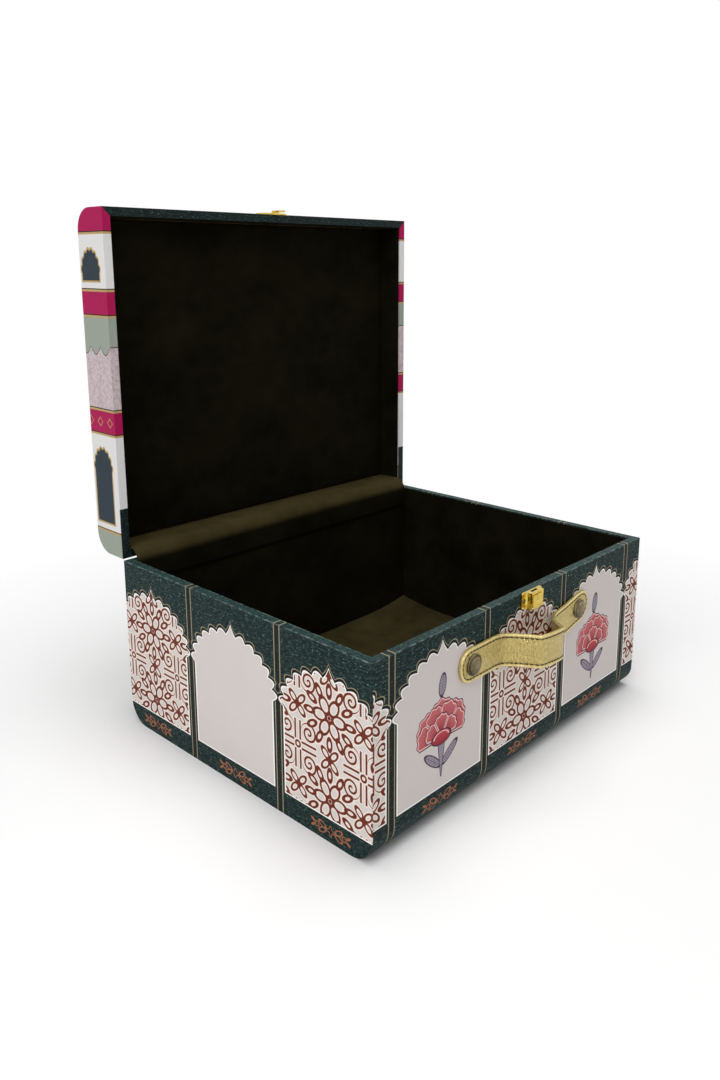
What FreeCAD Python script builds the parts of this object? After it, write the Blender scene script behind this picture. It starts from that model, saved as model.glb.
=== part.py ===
import FreeCAD, Part
import math
import os
import re
import Sketcher

# Printed storage trunk: a base tray and a lid tray of wooden boards, wrapped in printed leatherette and lined
# with suede. The lid stands open on two butt hinges. Millimetres, +Z up, +X along the front, +Y to the back,
# origin at the centre of the bottom face. The lid is drawn closed and turned open about its hinges at the end.

SIZES = {
    # Whole trunk
    "trunk_width": 380.0,
    "trunk_depth": 307.0,
    "base_height": 155.5,
    "lid_height": 41.0,
    "base_edge_radius": 21.6,
    "lid_edge_radius": 19.5,
    "rim_gap": 0.6,
    "open_angle": 90.0,
    "cut_overrun": 2.0,
    # Boards and their wrap
    "wrap_thickness": 0.8,
    "board_thickness": 6.0,
    "panel_thickness": 9.0,
    "turn_in_depth": 10.0,
    # Linings, pads and gusset
    "lining_thickness": 1.8,
    "lining_drop": 1.5,
    "floor_pad_thickness": 4.6,
    "lid_pad_thickness": 3.2,
    "pad_edge_radius": 1.5,
    "pad_clearance": 0.3,
    "gusset_thickness": 0.8,
    "gusset_clearance": 0.2,
    "gusset_base_flange": 22.0,
    "gusset_lid_flange": 26.0,
    "gusset_roll_radius": 12.5,
    # Hinges
    "hinge_inset": 75.0,
    "hinge_offset": 0.8,
    "leaf_length": 39.0,
    "leaf_reach": 6.4,
    "leaf_thickness": 1.2,
    "leaf_fit": 0.1,
    "knuckle_radius": 1.9,
    "knuckle_clearance": 0.3,
    "knuckle_gap": 0.2,
    "pin_radius": 0.8,
    "pin_fit": 0.05,
    # Handle
    "handle_drop": 40.0,
    "handle_offset": -3.0,
    "strap_length": 186.0,
    "strap_width": 28.0,
    "strap_layer": 1.6,
    "strap_end_radius": 11.0,
    "strap_bend_radius": 18.0,
    "strap_leg": 15.5,
    "strap_leg_slope": 58.0,
    "strap_corner_radius": 6.0,
    "strap_crown_radius": 80.0,
    "strap_crown_slope": 12.0,
    "rivet_spacing": 154.0,
    "rivet_lift": 2.2,
    "rivet_cap_radius": 8.75,
    "rivet_cap_edge": 0.8,
    "rivet_cap_height": 3.2,
    "rivet_post_radius": 2.0,
    "rivet_fit": 0.05,
    "washer_radius": 6.0,
    "washer_thickness": 0.9,
    "washer_recess": 1.2,
    # Lock on the base
    "lock_width": 16.7,
    "lock_height": 14.0,
    "lock_depth": 6.9,
    "lock_wall": 1.2,
    "lock_wing": 6.2,
    "lock_wing_thickness": 1.2,
    "lock_fillet": 2.0,
    "lock_corner_radius": 3.0,
    "lock_clearance": 0.4,
    "slide_travel": 2.4,
    "slide_gap": 0.1,
    "thumb_width": 12.4,
    "thumb_height": 10.4,
    "thumb_thickness": 0.9,
    "thumb_edge": 0.3,
    "stem_width": 3.0,
    "stem_height": 2.0,
    "bolt_drop": 5.6,
    "bolt_length": 2.4,
    "bolt_height": 3.0,
    "carrier_thickness": 1.1,
    "carrier_gap": 0.2,
    # Strike on the lid
    "strike_width": 29.0,
    "strike_height": 16.0,
    "strike_lift": 0.5,
    "strike_thickness": 1.5,
    "strike_foot": 1.7,
    "strike_corner_radius": 3.0,
    "tongue_width": 8.0,
    "tongue_thickness": 1.5,
    "tongue_standoff": 2.2,
    "tongue_drop": 9.0,
    "notch_depth": 2.6,
}

# Distances inward from the trunk's outer face, written in the sizes above
BOARD_INSIDE = "(wrap_thickness + board_thickness)"
RIM_INSIDE = "(2 * wrap_thickness + board_thickness)"
LINING_INSIDE = "(wrap_thickness + board_thickness + lining_thickness)"
HINGE_Y = "(trunk_depth / 2 + hinge_offset)"
HINGE_Z = "(base_height + rim_gap / 2)"
BOLT_Z = "(base_height - bolt_drop)"
STRAP_Z = "(base_height - handle_drop)"
RIVET_Z = "(base_height - handle_drop + rivet_lift)"

# The two trays: each wall starts at its rim and runs away from it, down for the base and up for the lid.
# The turn is the sense in which an outline drawn from the rim goes round the tray's edges.
BASE = {
    "name": "base",
    "rim": "base_height",
    "away": "-",
    "turn": -1,
    "height": "base_height",
    "radius": "base_edge_radius",
    "pad": "floor_pad_thickness",
    "panel_name": "bottom",
    "pad_name": "floor_pad",
}
LID = {
    "name": "lid",
    "rim": "(base_height + rim_gap)",
    "away": "+",
    "turn": 1,
    "height": "lid_height",
    "radius": "lid_edge_radius",
    "pad": "lid_pad_thickness",
    "panel_name": "top",
    "pad_name": "top_pad",
}
FRONT, BACK = -1, 1
LEFT, RIGHT = -1, 1
SIDE_NAMES = {FRONT: "front", BACK: "back"}
END_NAMES = {LEFT: "left", RIGHT: "right"}

# Document and driving sizes
doc = FreeCAD.newDocument("printed_trunk")
sheet = doc.addObject("Spreadsheet::Sheet", "sizes")
for row, (alias, value) in enumerate(SIZES.items(), start=1):
    sheet.set(f"A{row}", alias)
    sheet.set(f"B{row}", str(value))
    sheet.setAlias(f"B{row}", alias)
doc.recompute()

nodes = {}
lid_nodes = []


def bind(text):
    """Turn the size names of an expression into references to the sheet's cells."""
    return re.sub(r"[a-z_]+", lambda word: f"sizes.{word[0]}" if word[0] in SIZES else word[0], text)


def number(text):
    """Work out an expression of sizes."""
    return float(sheet.evalExpression(bind(text)))


def keep(name, piece, on_lid=False):
    """Register a finished sub-part under the name of its file."""
    piece.Label = name
    nodes[name] = piece
    if on_lid:
        lid_nodes.append(name)
    return piece


# Sketches: corners are pairs of expressions, and a corner with a radius and a turn starts an arc


def arc_between(first, last, radius, turn):
    """Arc of under a half circle between two points, with its centre to the left when turn is positive."""
    chord = last - first
    side = FreeCAD.Vector(-chord.y, chord.x, 0).normalize() * turn
    rise = max(radius ** 2 - (chord.Length / 2) ** 2, 0) ** 0.5
    circle = Part.Circle((first + last) / 2 + side * rise, FreeCAD.Vector(0, 0, 1), radius)
    start, end = (first, last) if turn > 0 else (last, first)
    return Part.ArcOfCircle(circle, circle.parameter(start), circle.parameter(end))


def pin_down(constraints, bindings, element, point, place):
    """Fix a sketch point at a place given by two expressions."""
    for kind, axis, text in (("DistanceX", -2, place[0]), ("DistanceY", -1, place[1])):
        if text == "0":
            constraints.append(Sketcher.Constraint("PointOnObject", element, point, axis))
        else:
            constraints.append(Sketcher.Constraint(kind, -1, 1, element, point, number(text)))
            bindings[len(constraints) - 1] = text


def new_sketch(body, plane, start):
    """Empty sketch on an origin plane of the body, moved along the plane's normal."""
    sketch = body.newObject("Sketcher::SketchObject", "outline")
    support = next(feature for feature in body.Origin.OriginFeatures if feature.Role == plane)
    sketch.AttachmentSupport = (support, [""])
    sketch.MapMode = "FlatFace"
    sketch.setExpression("AttachmentOffset.Base.z", bind(start))
    return sketch


def apply(sketch, constraints, bindings):
    sketch.addConstraint(constraints)
    for index, text in bindings.items():
        sketch.setExpression(f"Constraints[{index}]", bind(text))


def outline_sketch(body, plane, start, corners):
    """Closed outline through the corners."""
    sketch = new_sketch(body, plane, start)
    points = [FreeCAD.Vector(number(corner[0]), number(corner[1]), 0) for corner in corners]
    constraints, bindings, ends = [], {}, []
    for index, corner in enumerate(corners):
        first, last = points[index], points[(index + 1) % len(points)]
        if len(corner) == 2:
            sketch.addGeometry(Part.LineSegment(first, last), False)
            ends.append((1, 2))
        else:
            radius, turn = corner[2:]
            sketch.addGeometry(arc_between(first, last, number(radius), turn), False)
            ends.append((1, 2) if turn > 0 else (2, 1))
    for index, corner in enumerate(corners):
        before = (index - 1) % len(corners)
        constraints.append(Sketcher.Constraint("Coincident", before, ends[before][1], index, ends[index][0]))
        pin_down(constraints, bindings, index, ends[index][0], corner[:2])
        if len(corner) > 2:
            constraints.append(Sketcher.Constraint("Radius", index, number(corner[2])))
            bindings[len(constraints) - 1] = corner[2]
    apply(sketch, constraints, bindings)
    return sketch


def circle_sketch(body, plane, start, centre, radius):
    """One circle at a place given by two expressions."""
    sketch = new_sketch(body, plane, start)
    middle = FreeCAD.Vector(number(centre[0]), number(centre[1]), 0)
    sketch.addGeometry(Part.Circle(middle, FreeCAD.Vector(0, 0, 1), number(radius)), False)
    constraints, bindings = [], {}
    pin_down(constraints, bindings, 0, 3, centre)
    constraints.append(Sketcher.Constraint("Radius", 0, number(radius)))
    bindings[len(constraints) - 1] = radius
    apply(sketch, constraints, bindings)
    return sketch


def rectangle(low_x, high_x, low_y, high_y):
    return [(low_x, low_y), (high_x, low_y), (high_x, high_y), (low_x, high_y)]


def rounded(middle, half, low, high, radius):
    """Corners of a plate with round corners."""
    left, right = f"({middle} - {half})", f"({middle} + {half})"
    return [
        (f"{left} + {radius}", low),
        (f"{right} - {radius}", low, radius, 1),
        (right, f"{low} + {radius}"),
        (right, f"{high} - {radius}", radius, 1),
        (f"{right} - {radius}", high),
        (f"{left} + {radius}", high, radius, 1),
        (left, f"{high} - {radius}"),
        (left, f"{low} + {radius}", radius, 1),
    ]


def new_body(name):
    return doc.addObject("PartDesign::Body", name)


def pad(body, sketch, length):
    """Add the sketch's prism to the body, along the sketch's normal."""
    feature = body.newObject("PartDesign::Pad", "pad")
    feature.Profile = sketch
    feature.setExpression("Length", bind(length))
    return feature


def pocket(body, sketch, length):
    """Cut the sketch's prism from the body, along the sketch's normal, and see that it cut something."""
    doc.recompute()
    before = body.Shape.Volume
    feature = body.newObject("PartDesign::Pocket", "pocket")
    feature.Profile = sketch
    feature.Reversed = True
    feature.setExpression("Length", bind(length))
    doc.recompute()
    if not body.Shape.Volume < before:
        raise ValueError(f"a pocket in {body.Label} cut nothing")
    return feature


def edges_at(feature, axis, level):
    """Names of the edges that lie whole at one level along an axis."""
    levels = [[getattr(vertex.Point, axis) for vertex in edge.Vertexes] for edge in feature.Shape.Edges]
    found = [all(math.isclose(value, level) for value in values) for values in levels]
    return [f"Edge{index}" for index, matches in enumerate(found, start=1) if matches]


def prism(name, plane, start, length, corners):
    """Body that is one prism."""
    body = new_body(name)
    pad(body, outline_sketch(body, plane, start, corners), length)
    return body


# Part primitives


def place(piece, x, y, z, rotation=FreeCAD.Rotation()):
    piece.Placement = FreeCAD.Placement(FreeCAD.Vector(), rotation)
    for axis, text in (("x", x), ("y", y), ("z", z)):
        piece.setExpression(f"Placement.Base.{axis}", bind(text))
    return piece


def block(name, x, y, z):
    """Box between pairs of expressions along each axis."""
    box = doc.addObject("Part::Box", name)
    for size, (low, high) in zip(("Length", "Width", "Height"), (x, y, z)):
        box.setExpression(size, bind(f"({high}) - ({low})"))
    return place(box, x[0], y[0], z[0])


def rod(name, radius, length, x, y, z, rotation=FreeCAD.Rotation()):
    cylinder = doc.addObject("Part::Cylinder", name)
    cylinder.setExpression("Radius", bind(radius))
    cylinder.setExpression("Height", bind(length))
    return place(cylinder, x, y, z, rotation)


def fused(name, pieces):
    fusion = doc.addObject("Part::MultiFuse", name)
    fusion.Shapes = pieces
    return fusion


def group(name, pieces):
    compound = doc.addObject("Part::Compound", name)
    compound.Links = pieces
    return compound


def cut(base, tool):
    result = doc.addObject("Part::Cut", base.Name + "_cut")
    result.Base = base
    result.Tool = tool
    return result


def common(name, pieces):
    shared = doc.addObject("Part::MultiCommon", name)
    shared.Shapes = pieces
    return shared


INTO_FRONT = FreeCAD.Rotation(FreeCAD.Vector(1, 0, 0), -90)
OUT_OF_FRONT = FreeCAD.Rotation(FreeCAD.Vector(1, 0, 0), 90)


# Places in a tray


def across(side, inward):
    """Y at a distance inward from the front or back outer face."""
    return f"{side} * (trunk_depth / 2 - ({inward}))"


def along(end, inward):
    """X at a distance inward from the left or right outer face."""
    return f"{end} * (trunk_width / 2 - ({inward}))"


def from_rim(tray, depth):
    """Z at a distance from the tray's rim into the tray."""
    return f"{tray['rim']} {tray['away']} ({depth})"


def layer(tray, near, far):
    """Lower end and height of the stretch between two distances from the rim."""
    return from_rim(tray, far if tray is BASE else near), f"({far}) - ({near})"


def ahead(standoff):
    """Y at a distance in front of the trunk's front face."""
    return f"-(trunk_depth / 2 + ({standoff}))"


def turned_open(inward, depth):
    """Y and Z of a point of the lid's back wall once the lid stands open."""
    arm = f"({inward} + hinge_offset)"
    rise = f"({depth} + rim_gap / 2)"
    y = f"{HINGE_Y} - {arm} * cos(open_angle) + {rise} * sin(open_angle)"
    z = f"{HINGE_Z} + {arm} * sin(open_angle) + {rise} * cos(open_angle)"
    return y, z


# Boards


def end_outline(tray, inset):
    """Outline of a tray's end in the YZ plane: square at the rim, rounded at the far edges."""
    radius = f"{tray['radius']} - ({inset})"
    straight = from_rim(tray, f"{tray['height']} - {tray['radius']}")
    flat = from_rim(tray, f"{tray['height']} - ({inset})")
    rim = from_rim(tray, "wrap_thickness")
    return [
        (across(FRONT, inset), rim),
        (across(BACK, inset), rim),
        (across(BACK, inset), straight, radius, tray["turn"]),
        (across(BACK, tray["radius"]), flat),
        (across(FRONT, tray["radius"]), flat, radius, tray["turn"]),
        (across(FRONT, inset), straight),
    ]


def end_board(tray, end):
    inner = "wrap_thickness" if end == LEFT else BOARD_INSIDE
    name = f"{tray['name']}_{END_NAMES[end]}_board"
    return prism(name, "YZ_Plane", along(end, inner), "board_thickness", end_outline(tray, "wrap_thickness"))


def side_board(tray, side):
    """Front or back board, between the end boards and above or below the edge moulding."""
    corners = rectangle(
        across(side, "wrap_thickness"),
        across(side, BOARD_INSIDE),
        from_rim(tray, "wrap_thickness"),
        from_rim(tray, f"{tray['height']} - {tray['radius']}"),
    )
    name = f"{tray['name']}_{SIDE_NAMES[side]}_board"
    length = f"trunk_width - 2 * {BOARD_INSIDE}"
    return prism(name, "YZ_Plane", along(LEFT, BOARD_INSIDE), length, corners)


def panel_board(tray):
    """Bottom or top board, between the two edge mouldings."""
    corners = rectangle(
        across(FRONT, tray["radius"]),
        across(BACK, tray["radius"]),
        from_rim(tray, f"{tray['height']} - wrap_thickness - panel_thickness"),
        from_rim(tray, f"{tray['height']} - wrap_thickness"),
    )
    name = f"{tray['name']}_{tray['panel_name']}_board"
    length = f"trunk_width - 2 * {BOARD_INSIDE}"
    return prism(name, "YZ_Plane", along(LEFT, BOARD_INSIDE), length, corners)


def edge_moulding(tray, side):
    """L-shaped moulding with a round outer corner, joining a side board to the panel board."""
    straight = from_rim(tray, f"{tray['height']} - {tray['radius']}")
    inner = from_rim(tray, f"{tray['height']} - wrap_thickness - panel_thickness")
    flat = from_rim(tray, f"{tray['height']} - wrap_thickness")
    turn = -side * tray["turn"]
    corners = [
        (across(side, "wrap_thickness"), straight),
        (across(side, BOARD_INSIDE), straight),
        (across(side, BOARD_INSIDE), inner),
        (across(side, tray["radius"]), inner),
        (across(side, tray["radius"]), flat, f"{tray['radius']} - wrap_thickness", turn),
    ]
    name = f"{tray['name']}_{SIDE_NAMES[side]}_moulding"
    length = f"trunk_width - 2 * {BOARD_INSIDE}"
    return prism(name, "YZ_Plane", along(LEFT, BOARD_INSIDE), length, corners)


# Wrap: outer skin, mitred strip over the rim and the turn-in behind the lining


def side_wrap(tray, side):
    turn = -side * tray["turn"]
    radius = tray["radius"]
    straight = from_rim(tray, f"{tray['height']} - {radius}")
    rim = from_rim(tray, "wrap_thickness")
    skin = [
        (across(side, radius), from_rim(tray, tray["height"]), radius, turn),
        (across(side, "0"), straight),
        (across(side, "0"), rim),
        (across(side, "wrap_thickness"), rim),
        (across(side, "wrap_thickness"), straight, f"{radius} - wrap_thickness", -turn),
        (across(side, radius), from_rim(tray, f"{tray['height']} - wrap_thickness")),
    ]
    rim_strip = [
        (along(LEFT, "0"), across(side, "0")),
        (along(RIGHT, "0"), across(side, "0")),
        (along(RIGHT, RIM_INSIDE), across(side, RIM_INSIDE)),
        (along(LEFT, RIM_INSIDE), across(side, RIM_INSIDE)),
    ]
    turn_in = rectangle(
        across(side, BOARD_INSIDE),
        across(side, RIM_INSIDE),
        rim,
        from_rim(tray, "wrap_thickness + turn_in_depth"),
    )
    body = new_body(f"{tray['name']}_wrap_{SIDE_NAMES[side]}")
    skin_sketch = outline_sketch(body, "YZ_Plane", along(LEFT, "wrap_thickness"), skin)
    pad(body, skin_sketch, "trunk_width - 2 * wrap_thickness")
    strip_start, strip_height = layer(tray, "0", "wrap_thickness")
    pad(body, outline_sketch(body, "XY_Plane", strip_start, rim_strip), strip_height)
    turn_in_sketch = outline_sketch(body, "YZ_Plane", along(LEFT, BOARD_INSIDE), turn_in)
    pad(body, turn_in_sketch, f"trunk_width - 2 * {BOARD_INSIDE}")
    return body


def end_wrap(tray, end):
    rim_strip = [
        (along(end, "0"), across(FRONT, "0")),
        (along(end, "0"), across(BACK, "0")),
        (along(end, RIM_INSIDE), across(BACK, RIM_INSIDE)),
        (along(end, RIM_INSIDE), across(FRONT, RIM_INSIDE)),
    ]
    turn_in = rectangle(
        along(end, BOARD_INSIDE),
        along(end, RIM_INSIDE),
        across(FRONT, RIM_INSIDE),
        across(BACK, RIM_INSIDE),
    )
    body = new_body(f"{tray['name']}_wrap_{END_NAMES[end]}")
    outer = along(end, "0" if end == LEFT else "wrap_thickness")
    pad(body, outline_sketch(body, "YZ_Plane", outer, end_outline(tray, "0")), "wrap_thickness")
    strip_start, strip_height = layer(tray, "0", "wrap_thickness")
    pad(body, outline_sketch(body, "XY_Plane", strip_start, rim_strip), strip_height)
    fold_start, fold_height = layer(tray, "wrap_thickness", "wrap_thickness + turn_in_depth")
    pad(body, outline_sketch(body, "XY_Plane", fold_start, turn_in), fold_height)
    return body


def cover_sheet(tray):
    """Flat sheet under the bottom board or over the top board."""
    start, height = layer(tray, f"{tray['height']} - wrap_thickness", tray["height"])
    corners = rectangle(
        along(LEFT, "wrap_thickness"),
        along(RIGHT, "wrap_thickness"),
        across(FRONT, tray["radius"]),
        across(BACK, tray["radius"]),
    )
    return prism(f"{tray['name']}_{tray['panel_name']}_cover", "XY_Plane", start, height, corners)


# Linings and pads


def lining_profile(tray, place_at):
    """Section of a wall lining, rebated over the wrap's turn-in."""
    top = from_rim(tray, "lining_drop")
    step = from_rim(tray, "wrap_thickness + turn_in_depth")
    foot = from_rim(tray, f"{tray['height']} - wrap_thickness - panel_thickness")
    return [
        (place_at(RIM_INSIDE), top),
        (place_at(LINING_INSIDE), top),
        (place_at(LINING_INSIDE), foot),
        (place_at(BOARD_INSIDE), foot),
        (place_at(BOARD_INSIDE), step),
        (place_at(RIM_INSIDE), step),
    ]


def side_lining(tray, side):
    profile = lining_profile(tray, lambda inward: across(side, inward))
    name = f"{tray['name']}_lining_{SIDE_NAMES[side]}"
    length = f"trunk_width - 2 * {RIM_INSIDE}"
    return prism(name, "YZ_Plane", along(LEFT, RIM_INSIDE), length, profile)


def end_lining(tray, end):
    profile = lining_profile(tray, lambda inward: along(end, inward))
    name = f"{tray['name']}_lining_{END_NAMES[end]}"
    length = f"trunk_depth - 2 * {LINING_INSIDE}"
    return prism(name, "XZ_Plane", f"-(trunk_depth / 2 - {LINING_INSIDE})", length, profile)


def inner_pad(tray):
    """Padded panel on the floor or under the lid's top, with a soft edge all round its show face."""
    inset = f"{LINING_INSIDE} + pad_clearance"
    seat = f"{tray['height']} - wrap_thickness - panel_thickness"
    start, height = layer(tray, f"{seat} - {tray['pad']}", seat)
    corners = rectangle(along(LEFT, inset), along(RIGHT, inset), across(FRONT, inset), across(BACK, inset))
    body = prism(f"{tray['name']}_{tray['pad_name']}", "XY_Plane", start, height, corners)
    pad_feature = body.Tip
    doc.recompute()
    show = number(from_rim(tray, f"{seat} - {tray['pad']}"))
    rounding = body.newObject("PartDesign::Fillet", "soft_edge")
    rounding.Base = (pad_feature, edges_at(pad_feature, "z", show))
    rounding.setExpression("Radius", bind("pad_edge_radius"))
    return body


def gusset():
    """Padded suede roll from the base's back lining, over both rims, to the back lining of the open lid."""
    seat = f"({LINING_INSIDE} + gusset_clearance)"
    face = f"({LINING_INSIDE} + gusset_clearance + gusset_thickness)"
    rim = f"({RIM_INSIDE} + gusset_clearance)"
    base_under = [("gusset_base_flange", seat), ("lining_drop", seat), ("0", rim)]
    lid_under = [("0", rim), ("lining_drop", seat), ("gusset_lid_flange", seat)]
    corners = [(across(BACK, inward), from_rim(BASE, depth)) for depth, inward in base_under]
    corners += [turned_open(inward, depth) for depth, inward in lid_under]
    corners += [
        turned_open(face, "gusset_lid_flange"),
        (*turned_open(face, "lining_drop"), "gusset_roll_radius", 1),
        (across(BACK, face), from_rim(BASE, "lining_drop")),
        (across(BACK, face), from_rim(BASE, "gusset_base_flange")),
    ]
    inset = f"{LINING_INSIDE} + pad_clearance"
    return prism("hinge_gusset", "YZ_Plane", along(LEFT, inset), f"trunk_width - 2 * ({inset})", corners)


# Hinges


def hinge_x(end, offset="0"):
    return f"{end} * (trunk_width / 2 - hinge_inset) + ({offset})"


def leaf(tray, end):
    """Hinge leaf let into a rim; the base has the two outer knuckles and the lid the middle one."""
    inner_edge = across(BACK, "leaf_reach")
    clear = f"{HINGE_Y} - knuckle_radius - knuckle_clearance"
    seam = "(leaf_length / 6)"
    base_end, lid_end = f"({seam} + knuckle_gap / 2)", f"({seam} - knuckle_gap / 2)"
    if tray is BASE:
        outer_y, middle_y, step = HINGE_Y, clear, base_end
        stretches = [("-leaf_length / 2", f"-{base_end}"), (base_end, "leaf_length / 2")]
    else:
        outer_y, middle_y, step = clear, HINGE_Y, lid_end
        stretches = [(f"-{lid_end}", lid_end)]
    plate = [
        (hinge_x(end, "-leaf_length / 2"), inner_edge),
        (hinge_x(end, "leaf_length / 2"), inner_edge),
        (hinge_x(end, "leaf_length / 2"), outer_y),
        (hinge_x(end, step), outer_y),
        (hinge_x(end, step), middle_y),
        (hinge_x(end, f"-{step}"), middle_y),
        (hinge_x(end, f"-{step}"), outer_y),
        (hinge_x(end, "-leaf_length / 2"), outer_y),
    ]
    body = new_body(f"hinge_{END_NAMES[end]}_{tray['name']}_leaf")
    start, height = layer(tray, "0", "leaf_thickness")
    pad(body, outline_sketch(body, "XY_Plane", start, plate), height)
    for low, high in stretches:
        barrel = circle_sketch(body, "YZ_Plane", hinge_x(end, low), (HINGE_Y, HINGE_Z), "knuckle_radius")
        pad(body, barrel, f"({high}) - ({low})")
    bore_start = hinge_x(end, "-leaf_length / 2 - cut_overrun")
    bore = circle_sketch(body, "YZ_Plane", bore_start, (HINGE_Y, HINGE_Z), "pin_radius + pin_fit")
    pocket(body, bore, "leaf_length + 2 * cut_overrun")
    return body


def hinge_pin(end):
    sideways = FreeCAD.Rotation(FreeCAD.Vector(0, 1, 0), 90)
    start = hinge_x(end, "-leaf_length / 2")
    return rod(f"hinge_{END_NAMES[end]}_pin", "pin_radius", "leaf_length", start, HINGE_Y, HINGE_Z, sideways)


def hinge_seats(tray):
    """Recesses in a back rim for both leaves, and the room that the knuckles turn in."""
    pieces = []
    knuckle_depth = "knuckle_radius + knuckle_clearance - rim_gap / 2"
    knuckle_y = f"{HINGE_Y} - knuckle_radius - knuckle_clearance"
    leaf_y = across(BACK, "leaf_reach + leaf_fit")
    for end in (LEFT, RIGHT):
        x = (hinge_x(end, "-leaf_length / 2 - leaf_fit"), hinge_x(end, "leaf_length / 2 + leaf_fit"))
        for name, low_y, depth in (("leaf", leaf_y, "leaf_thickness"), ("knuckle", knuckle_y, knuckle_depth)):
            start, height = layer(tray, "-cut_overrun", depth)
            y = (low_y, "trunk_depth / 2 + cut_overrun")
            pieces.append(block(f"{tray['name']}_{name}_seat", x, y, (start, f"{start} + {height}")))
    return fused(f"{tray['name']}_hinge_seats", pieces)


# Handle

STRAP_SPAN = (
    "(strap_crown_radius * sin(strap_crown_slope)"
    " + strap_corner_radius * (sin(strap_leg_slope) - sin(strap_crown_slope))"
    " + strap_leg * cos(strap_leg_slope) + strap_bend_radius * sin(strap_leg_slope))"
)
STRAP_RISE = (
    "(strap_crown_radius * (1 - cos(strap_crown_slope))"
    " + strap_corner_radius * (cos(strap_crown_slope) - cos(strap_leg_slope))"
    " + strap_leg * sin(strap_leg_slope) + strap_bend_radius * (1 - cos(strap_leg_slope)))"
)
CROWN_CENTRE = f"(strap_layer + {STRAP_RISE} - strap_crown_radius)"


def strap_half(offset, end):
    """Corners of one half of the bowed strap at an offset outward from the seam between its layers."""
    bend = f"(strap_bend_radius - ({offset}))"
    corner = f"(strap_corner_radius + ({offset}))"
    crown = f"(strap_crown_radius + ({offset}))"
    corner_arm = "(strap_crown_radius - strap_corner_radius)"
    places = {
        "tip": ("strap_length / 2", f"strap_layer + ({offset})"),
        "bend_start": (STRAP_SPAN, f"strap_layer + ({offset})"),
        "bend_end": (
            f"{STRAP_SPAN} - {bend} * sin(strap_leg_slope)",
            f"strap_layer + strap_bend_radius - {bend} * cos(strap_leg_slope)",
        ),
        "corner": (
            f"{corner_arm} * sin(strap_crown_slope) + {corner} * sin(strap_leg_slope)",
            f"{CROWN_CENTRE} + {corner_arm} * cos(strap_crown_slope) + {corner} * cos(strap_leg_slope)",
        ),
        "crown": (
            f"{crown} * sin(strap_crown_slope)",
            f"{CROWN_CENTRE} + {crown} * cos(strap_crown_slope)",
        ),
    }
    half = {name: (f"handle_offset + {end} * ({x})", ahead(out)) for name, (x, out) in places.items()}
    return half, bend, corner, crown


def strap_edge(offset, ends, turn):
    """Corners of a strap face from one tip to the other."""
    first, bend, corner, crown = strap_half(offset, ends[0])
    last = strap_half(offset, ends[1])[0]
    return [
        first["tip"],
        (*first["bend_start"], bend, -turn),
        first["bend_end"],
        (*first["corner"], corner, turn),
        (*first["crown"], crown, turn),
        (*last["crown"], corner, turn),
        last["corner"],
        (*last["bend_end"], bend, -turn),
        last["bend_start"],
        last["tip"],
    ]


def strap_outline():
    """Prism of the strap's rounded outline seen from the front."""
    low, high = f"({STRAP_Z} - strap_width / 2)", f"({STRAP_Z} + strap_width / 2)"
    corners = rounded("handle_offset", "strap_length / 2", low, high, "strap_end_radius")
    depth = f"{STRAP_RISE} + 2 * strap_layer + 2 * cut_overrun"
    return prism("strap_outline", "XZ_Plane", "trunk_depth / 2 - cut_overrun", depth, corners)


def strap_layer(name, inner, outer, outline):
    corners = strap_edge(outer, (LEFT, RIGHT), 1) + strap_edge(inner, (RIGHT, LEFT), -1)
    bent = prism(name + "_bent", "XY_Plane", f"{STRAP_Z} - strap_width / 2", "strap_width", corners)
    return common(name + "_trimmed", [bent, outline])


def rivet_x(end):
    return f"handle_offset + {end} * rivet_spacing / 2"


def rivet(end):
    """Domed rivet: turned about its own axis, then set through the strap's tab."""
    body = new_body(f"rivet_{END_NAMES[end]}")
    seat = "2 * strap_layer"
    tail = f"-({BOARD_INSIDE} - washer_recess + washer_thickness)"
    edge, crown = f"{seat} + rivet_cap_edge", f"{seat} + rivet_cap_height"
    rise = "(rivet_cap_height - rivet_cap_edge)"
    profile = [
        ("0", tail),
        ("rivet_post_radius", tail),
        ("rivet_post_radius", seat),
        ("rivet_cap_radius", seat),
        ("rivet_cap_radius", edge, f"(rivet_cap_radius ^ 2 + {rise} ^ 2) / (2 * {rise})", 1),
        ("0", crown),
    ]
    sketch = outline_sketch(body, "XZ_Plane", "0", profile)
    turned = body.newObject("PartDesign::Revolution", "turned")
    turned.Profile = sketch
    turned.ReferenceAxis = (sketch, ["V_Axis"])
    return place(body, rivet_x(end), ahead("0"), RIVET_Z, OUT_OF_FRONT)


def rivet_rods(name, radius, near, far):
    """A cylinder on each rivet's axis between two distances in front of the trunk's face."""
    ends = (LEFT, RIGHT)
    length = f"({far}) - ({near})"
    return [rod(f"{name}_{end}", radius, length, rivet_x(end), ahead(far), RIVET_Z, INTO_FRONT) for end in ends]


def washers():
    low = f"-({BOARD_INSIDE} - washer_recess + washer_thickness)"
    high = f"-({BOARD_INSIDE} - washer_recess)"
    discs = rivet_rods("washer_disc", "washer_radius", low, high)
    holes = rivet_rods("washer_hole", "rivet_post_radius + rivet_fit", low, high)
    return group("handle_washers", [cut(disc, hole) for disc, hole in zip(discs, holes)])


# Lock and strike

TONGUE_FAR = "(tongue_standoff + tongue_thickness)"
CAVITY_FRONT = "(lock_depth - lock_wall)"
SLIDE_X = "(-slide_travel / 2)"


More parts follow.
